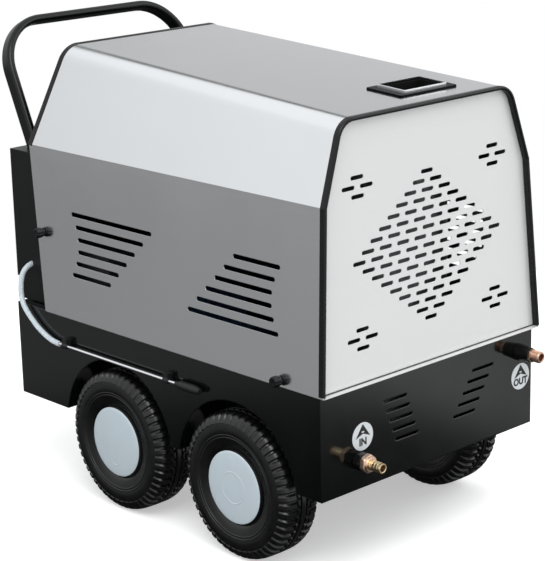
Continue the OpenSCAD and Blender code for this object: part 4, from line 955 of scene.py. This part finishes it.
# ---- Controls ----
def make_control_knob(name, x, z, r):
    """A round base with a fluted skirt and a bar grip with its white line."""
    centre = at(x, PANEL_Y, z)
    base = lathe("base", [(0, -18), (4.9, -18), (5.1, -17.6), (5.1, 1), (r - 0.6, 1), (r, 1.6), (r, 4.2),
                          (r - 0.8, 5.0), (r * 0.84, 5.0)], centre, (0, 1, 0), [KNOB_PLASTIC], 64)
    flutes, flute_depth = 18, 0.045

    def radius(q, a):
        dent = flute_depth * r * max(0.0, math.cos(flutes * a)) if 0.75 < q / r < 0.83 else 0.0
        return max(0.0004, q - dent)
    profile = [(q * r, h) for q, h in ((0.84, 5.0), (0.82, 5.6), (0.80, 9.5), (0.77, 12.8), (0.74, 13.8),
                                       (0.70, 14.0), (0.0, 14.0))]
    skirt = shaped("skirt", profile, centre, "y", 108, radius, KNOB_PLASTIC, 32)
    bar_h = 20
    bar = prism("bar", rounded_rect(7.0, 1.4 * r, 2.6), at(x, PANEL_Y + bar_h, z), *TO_REAR, 7.0,
                [KNOB_PLASTIC], 1.2)
    line = prism("line", rounded_rect(1.4, 0.5 * r, 0.6), at(x, PANEL_Y + bar_h - 0.01, z + 0.38 * r),
                 *TO_REAR, 0.4, [PRINT_WHITE])
    dress(joined(name + "_grip", [base, skirt, bar, line], 32), name, "knob_plastic", name)


def pointing(degrees):
    """Where an upright pointer points to, as (x, z), after a turn to the right seen from the rear."""
    a = math.radians(degrees)
    return -math.sin(a), math.cos(a)


def tick(x, y, z, degrees, reach, outline, depth, material):
    dx, dz = pointing(degrees)
    place = at(x + dx * reach, y, z + dz * reach)
    return prism("tick", outline, place, (-dz, 0, dx), (dx, 0, dz), depth, [material])


def knob_scale(name, x, z, r, start, turn, labels, size):
    """Ticks round a knob, with words or numbers outside them."""
    tick_gap, label_gap = 5.0, 13.5
    outline = rounded_rect(1.2, 4.5, 0.4)
    ticks = []
    for i, label in enumerate(labels):
        degrees = start + turn * i / (len(labels) - 1)
        ticks.append(tick(x, PANEL_Y + 0.3, z, degrees, r + tick_gap, outline, 0.35, PRINT_WHITE))
        dx, dz = pointing(degrees)
        if label:
            place = at(x + dx * (r + label_gap), PANEL_Y + 0.02, z + dz * (r + label_gap))
            lettering(f"{name}_mark_{i}", label, size, place, TO_REAR, PRINT_WHITE, "panel_plastic")
    dress(joined(name + "_ticks", ticks), "chassis", "panel_plastic")


def make_gauge():
    """The gauge's dial with its scale, under the lens."""
    dial_y, spindle_r = PANEL_Y - 7.9, 3.0
    dial = prism("gauge_dial", circle(GAUGE_R - 3.1, 64), at(CONTROL_X, dial_y, UPPER_ROW), *TO_REAR, 0.3,
                 [DIAL_FACE])
    cut(dial, [prism("hole", circle(spindle_r, 24), at(CONTROL_X, dial_y + 2, UPPER_ROW), *TO_REAR, 5, [])])
    dress(dial, "chassis", "gauge_metal")
    ticks = []
    for i in range(21):
        degrees = -135 + 270 * i / 20
        long, wide = (4.4, 0.9) if i % 4 == 0 else (2.4, 0.55)
        ticks.append(tick(CONTROL_X, dial_y + 0.2, UPPER_ROW, degrees, GAUGE_R - 5.2 - long / 2,
                          rounded_rect(wide, long, 0.2), 0.22, INK))
        if i % 4 == 0:
            dx, dz = pointing(degrees)
            r = GAUGE_R - 14.0
            place = at(CONTROL_X + dx * r, dial_y + 0.05, UPPER_ROW + dz * r)
            lettering(f"gauge_number_{i}", str(i * 10), 4.6, place, TO_REAR, INK, "gauge_metal", lift=0.08)
    dress(joined("gauge_ticks", ticks), "chassis", "gauge_metal")


def make_lamps():
    """Three lamps, each a chromed bezel and a domed lens."""
    bezel = [(0, -16), (6.7, -16), (6.7, -0.5), (6.9, 0), (8.9, 0.02), (8.9, 1.4), (8.2, 2.2)]
    dome = [(7.2, 2.4), (6.9, 3.2), (5.4, 4.4), (3.0, 4.9), (0, 5.0)]
    bands = [0] * len(bezel) + [1] * (len(dome) - 1)
    for i, (material, color) in enumerate(((LAMP_GREEN, "green"), (LAMP_AMBER, "amber"), (LAMP_RED, "red"))):
        centre = at(CONTROL_X - 40 + 40 * i, PANEL_Y, LOWER_ROW)
        lamp = lathe(f"lamp_{color}", bezel + dome, centre, (0, 1, 0), [GAUGE_METAL, material], 40, 30, bands)
        dress(lamp, "chassis", "lamp_lens", "signal_lamps")


def make_controls():
    for name, x, z, r in (("switch", -CONTROL_X, UPPER_ROW, 24.0), ("thermostat", 0.0, UPPER_ROW, 24.0),
                          ("detergent", -CONTROL_X, LOWER_ROW, 18.0)):
        make_control_knob(name + "_knob", x, z, r)
    knob_scale("switch_scale", -CONTROL_X, UPPER_ROW, 24, 0, 90, ["OFF", "ON"], 7.5)
    tens = [str(10 * i) if i % 2 == 0 else "" for i in range(10)]
    knob_scale("thermostat_scale", 0.0, UPPER_ROW, 24, -135, 270, tens, 7.0)
    knob_scale("detergent_scale", -CONTROL_X, LOWER_ROW, 18, -135, 270, list("0123456"), 7.0)
    make_gauge()
    make_lamps()


make_hood()
make_trims()
make_panel_crease_shade()
make_flue()
for where, side in (("left", LEFT), ("right", RIGHT)):
    make_hood_knob(f"front_{where}_hood_knob", side, FRONT_KNOB, 253.0)
    make_hood_knob(f"rear_{where}_hood_knob", side, REAR_KNOB, 243.0)
    for end, axle_y in (("front", FRONT_AXLE_Y), ("rear", REAR_AXLE_Y)):
        make_tyre(f"{end}_{where}", side, axle_y)
        make_hub_cap(f"{end}_{where}", side, axle_y)
make_hose_piece()
make_coil()
make_inlet()
make_outlet()
make_marker("marker_in", -167.0, 246.0, "IN")
make_marker("marker_out", 232.0, 250.0, "OUT")
make_controls()


# ---- Floor, world and lamps ----
def light_path(s):
    """A light path's outputs, and 1 for rays of the camera, also through glass."""
    ray = s.add("LightPath").outputs
    return ray, s.math("MAXIMUM", ray["Is Camera Ray"], ray["Is Transmission Ray"])


def make_floor():
    s = Shader("floor_pale")
    ray, seen = light_path(s)
    pale = s.blend(s.noise(3, 2), (0.8, 0.8, 0.8), (0.82, 0.82, 0.82))
    diffuse = s.add("BsdfDiffuse", {"Color": pale}).outputs[0]
    glow = s.add("Emission", {"Strength": s.math("MULTIPLY", seen, 0.42)}).outputs[0]
    both = s.add("AddShader", {0: diffuse, 1: glow}).outputs[0]
    # the metal sees the studio's ground instead of the floor
    clear = s.add("BsdfTransparent").outputs[0]
    through = s.add("MixShader", {0: ray["Is Glossy Ray"], 1: both, 2: clear}).outputs[0]
    s.put(s.out.inputs["Surface"], through)
    rings = [(0, 0), (500, 0), (1000, 0), (1600, 0)]
    floor = lathe("floor", rings, Vector((0, 0, -0.0002)), (0, 0, 1), [s.owner], 96, None)


def make_world():
    s = Shader("studio", world=True)
    bpy.context.scene.world = s.owner
    x, y, z = s.add("SeparateXYZ", {0: s.place}).outputs

    def product(first, second):
        return s.math("MULTIPLY", first, second)

    def ramp(value, stops):
        node = s.add("ValToRGB", {0: value})
        points = node.color_ramp.elements
        points[0].position, points[1].position = stops[0][0], stops[-1][0]
        for position, _ in stops[1:-1]:
            points.new(position)
        for point, (position, level) in zip(points, stops):
            point.position = position
            point.color = (level, level, level, 1)
        return node.outputs[0]

    def smooth(value, low, high, to_low=0.0, to_high=1.0):
        return s.steps(value, low, high, to_low, to_high, "SMOOTHSTEP")

    def mixed(share, first, second):
        return s.math("ADD", product(s.math("SUBTRACT", 1.0, share), first), product(share, second))

    # above the horizon: a bright wall and ceiling on the left, and on the right a dimmer wall,
    # a dark gap and the ceiling
    left_wall = ramp(z, [(0.0, 1.0), (0.5, 1.06), (0.62, 1.15), (1.0, 1.15)])
    right_wall = ramp(z, [(0.0, 0.7), (0.2, 0.66), (0.40, 0.6), (0.45, 0.2), (0.57, 0.2), (0.63, 1.15),
                          (1.0, 1.15)])
    above = mixed(smooth(x, 0.0, 0.3), left_wall, right_wall)

    # below it: darker to the rear left, brighter to the front right, and dark close to the object
    across = s.math("ADD", product(x, 0.7), product(y, -0.7))
    tilted = s.math("ADD", product(s.math("MAXIMUM", s.math("SUBTRACT", x, 0.7), -0.02), 0.5), z)
    ground = product(smooth(across, -0.9, 0.6, 0.33, 1.1), smooth(tilted, -0.35, -0.328, 0.05, 1.0))
    ground = product(ground, smooth(x, 0.7, 0.75, 1.0, 0.6))
    level = mixed(smooth(z, -0.05, 0.03), ground, above)
    # and everything falls off a little straight behind
    level = product(level, smooth(y, 0.7, 0.87, 1.0, mixed(smooth(x, -0.3, 0.3), 0.78, 0.9)))

    seen = light_path(s)[1]
    studio = s.add("Background", {"Strength": level, "Color": (0.985, 0.995, 1.0)}).outputs[0]
    white = s.add("Background", {"Color": (1, 1, 1)}).outputs[0]
    mix = s.add("MixShader", {0: seen, 1: studio, 2: white}).outputs[0]
    s.put(s.out.inputs["Surface"], mix)


def make_lamp(name, place, aim, size, power):
    data = bpy.data.lights.new(name, "AREA")
    data.shape = "SQUARE"
    data.size = size
    data.energy = power
    lamp = bpy.data.objects.new(name, data)
    bpy.context.scene.collection.objects.link(lamp)
    lamp.location = place
    lamp.rotation_mode = "QUATERNION"
    lamp.rotation_quaternion = (Vector(aim) - Vector(place)).to_track_quat("-Z", "Y")


make_floor()
make_world()
make_lamp("key", (-1.6, -1.8, 3.4), (0, 0, 0.4), 2.2, 60)
make_lamp("fill", (2.6, -2.0, 2.2), (0, 0, 0.4), 2.4, 30)
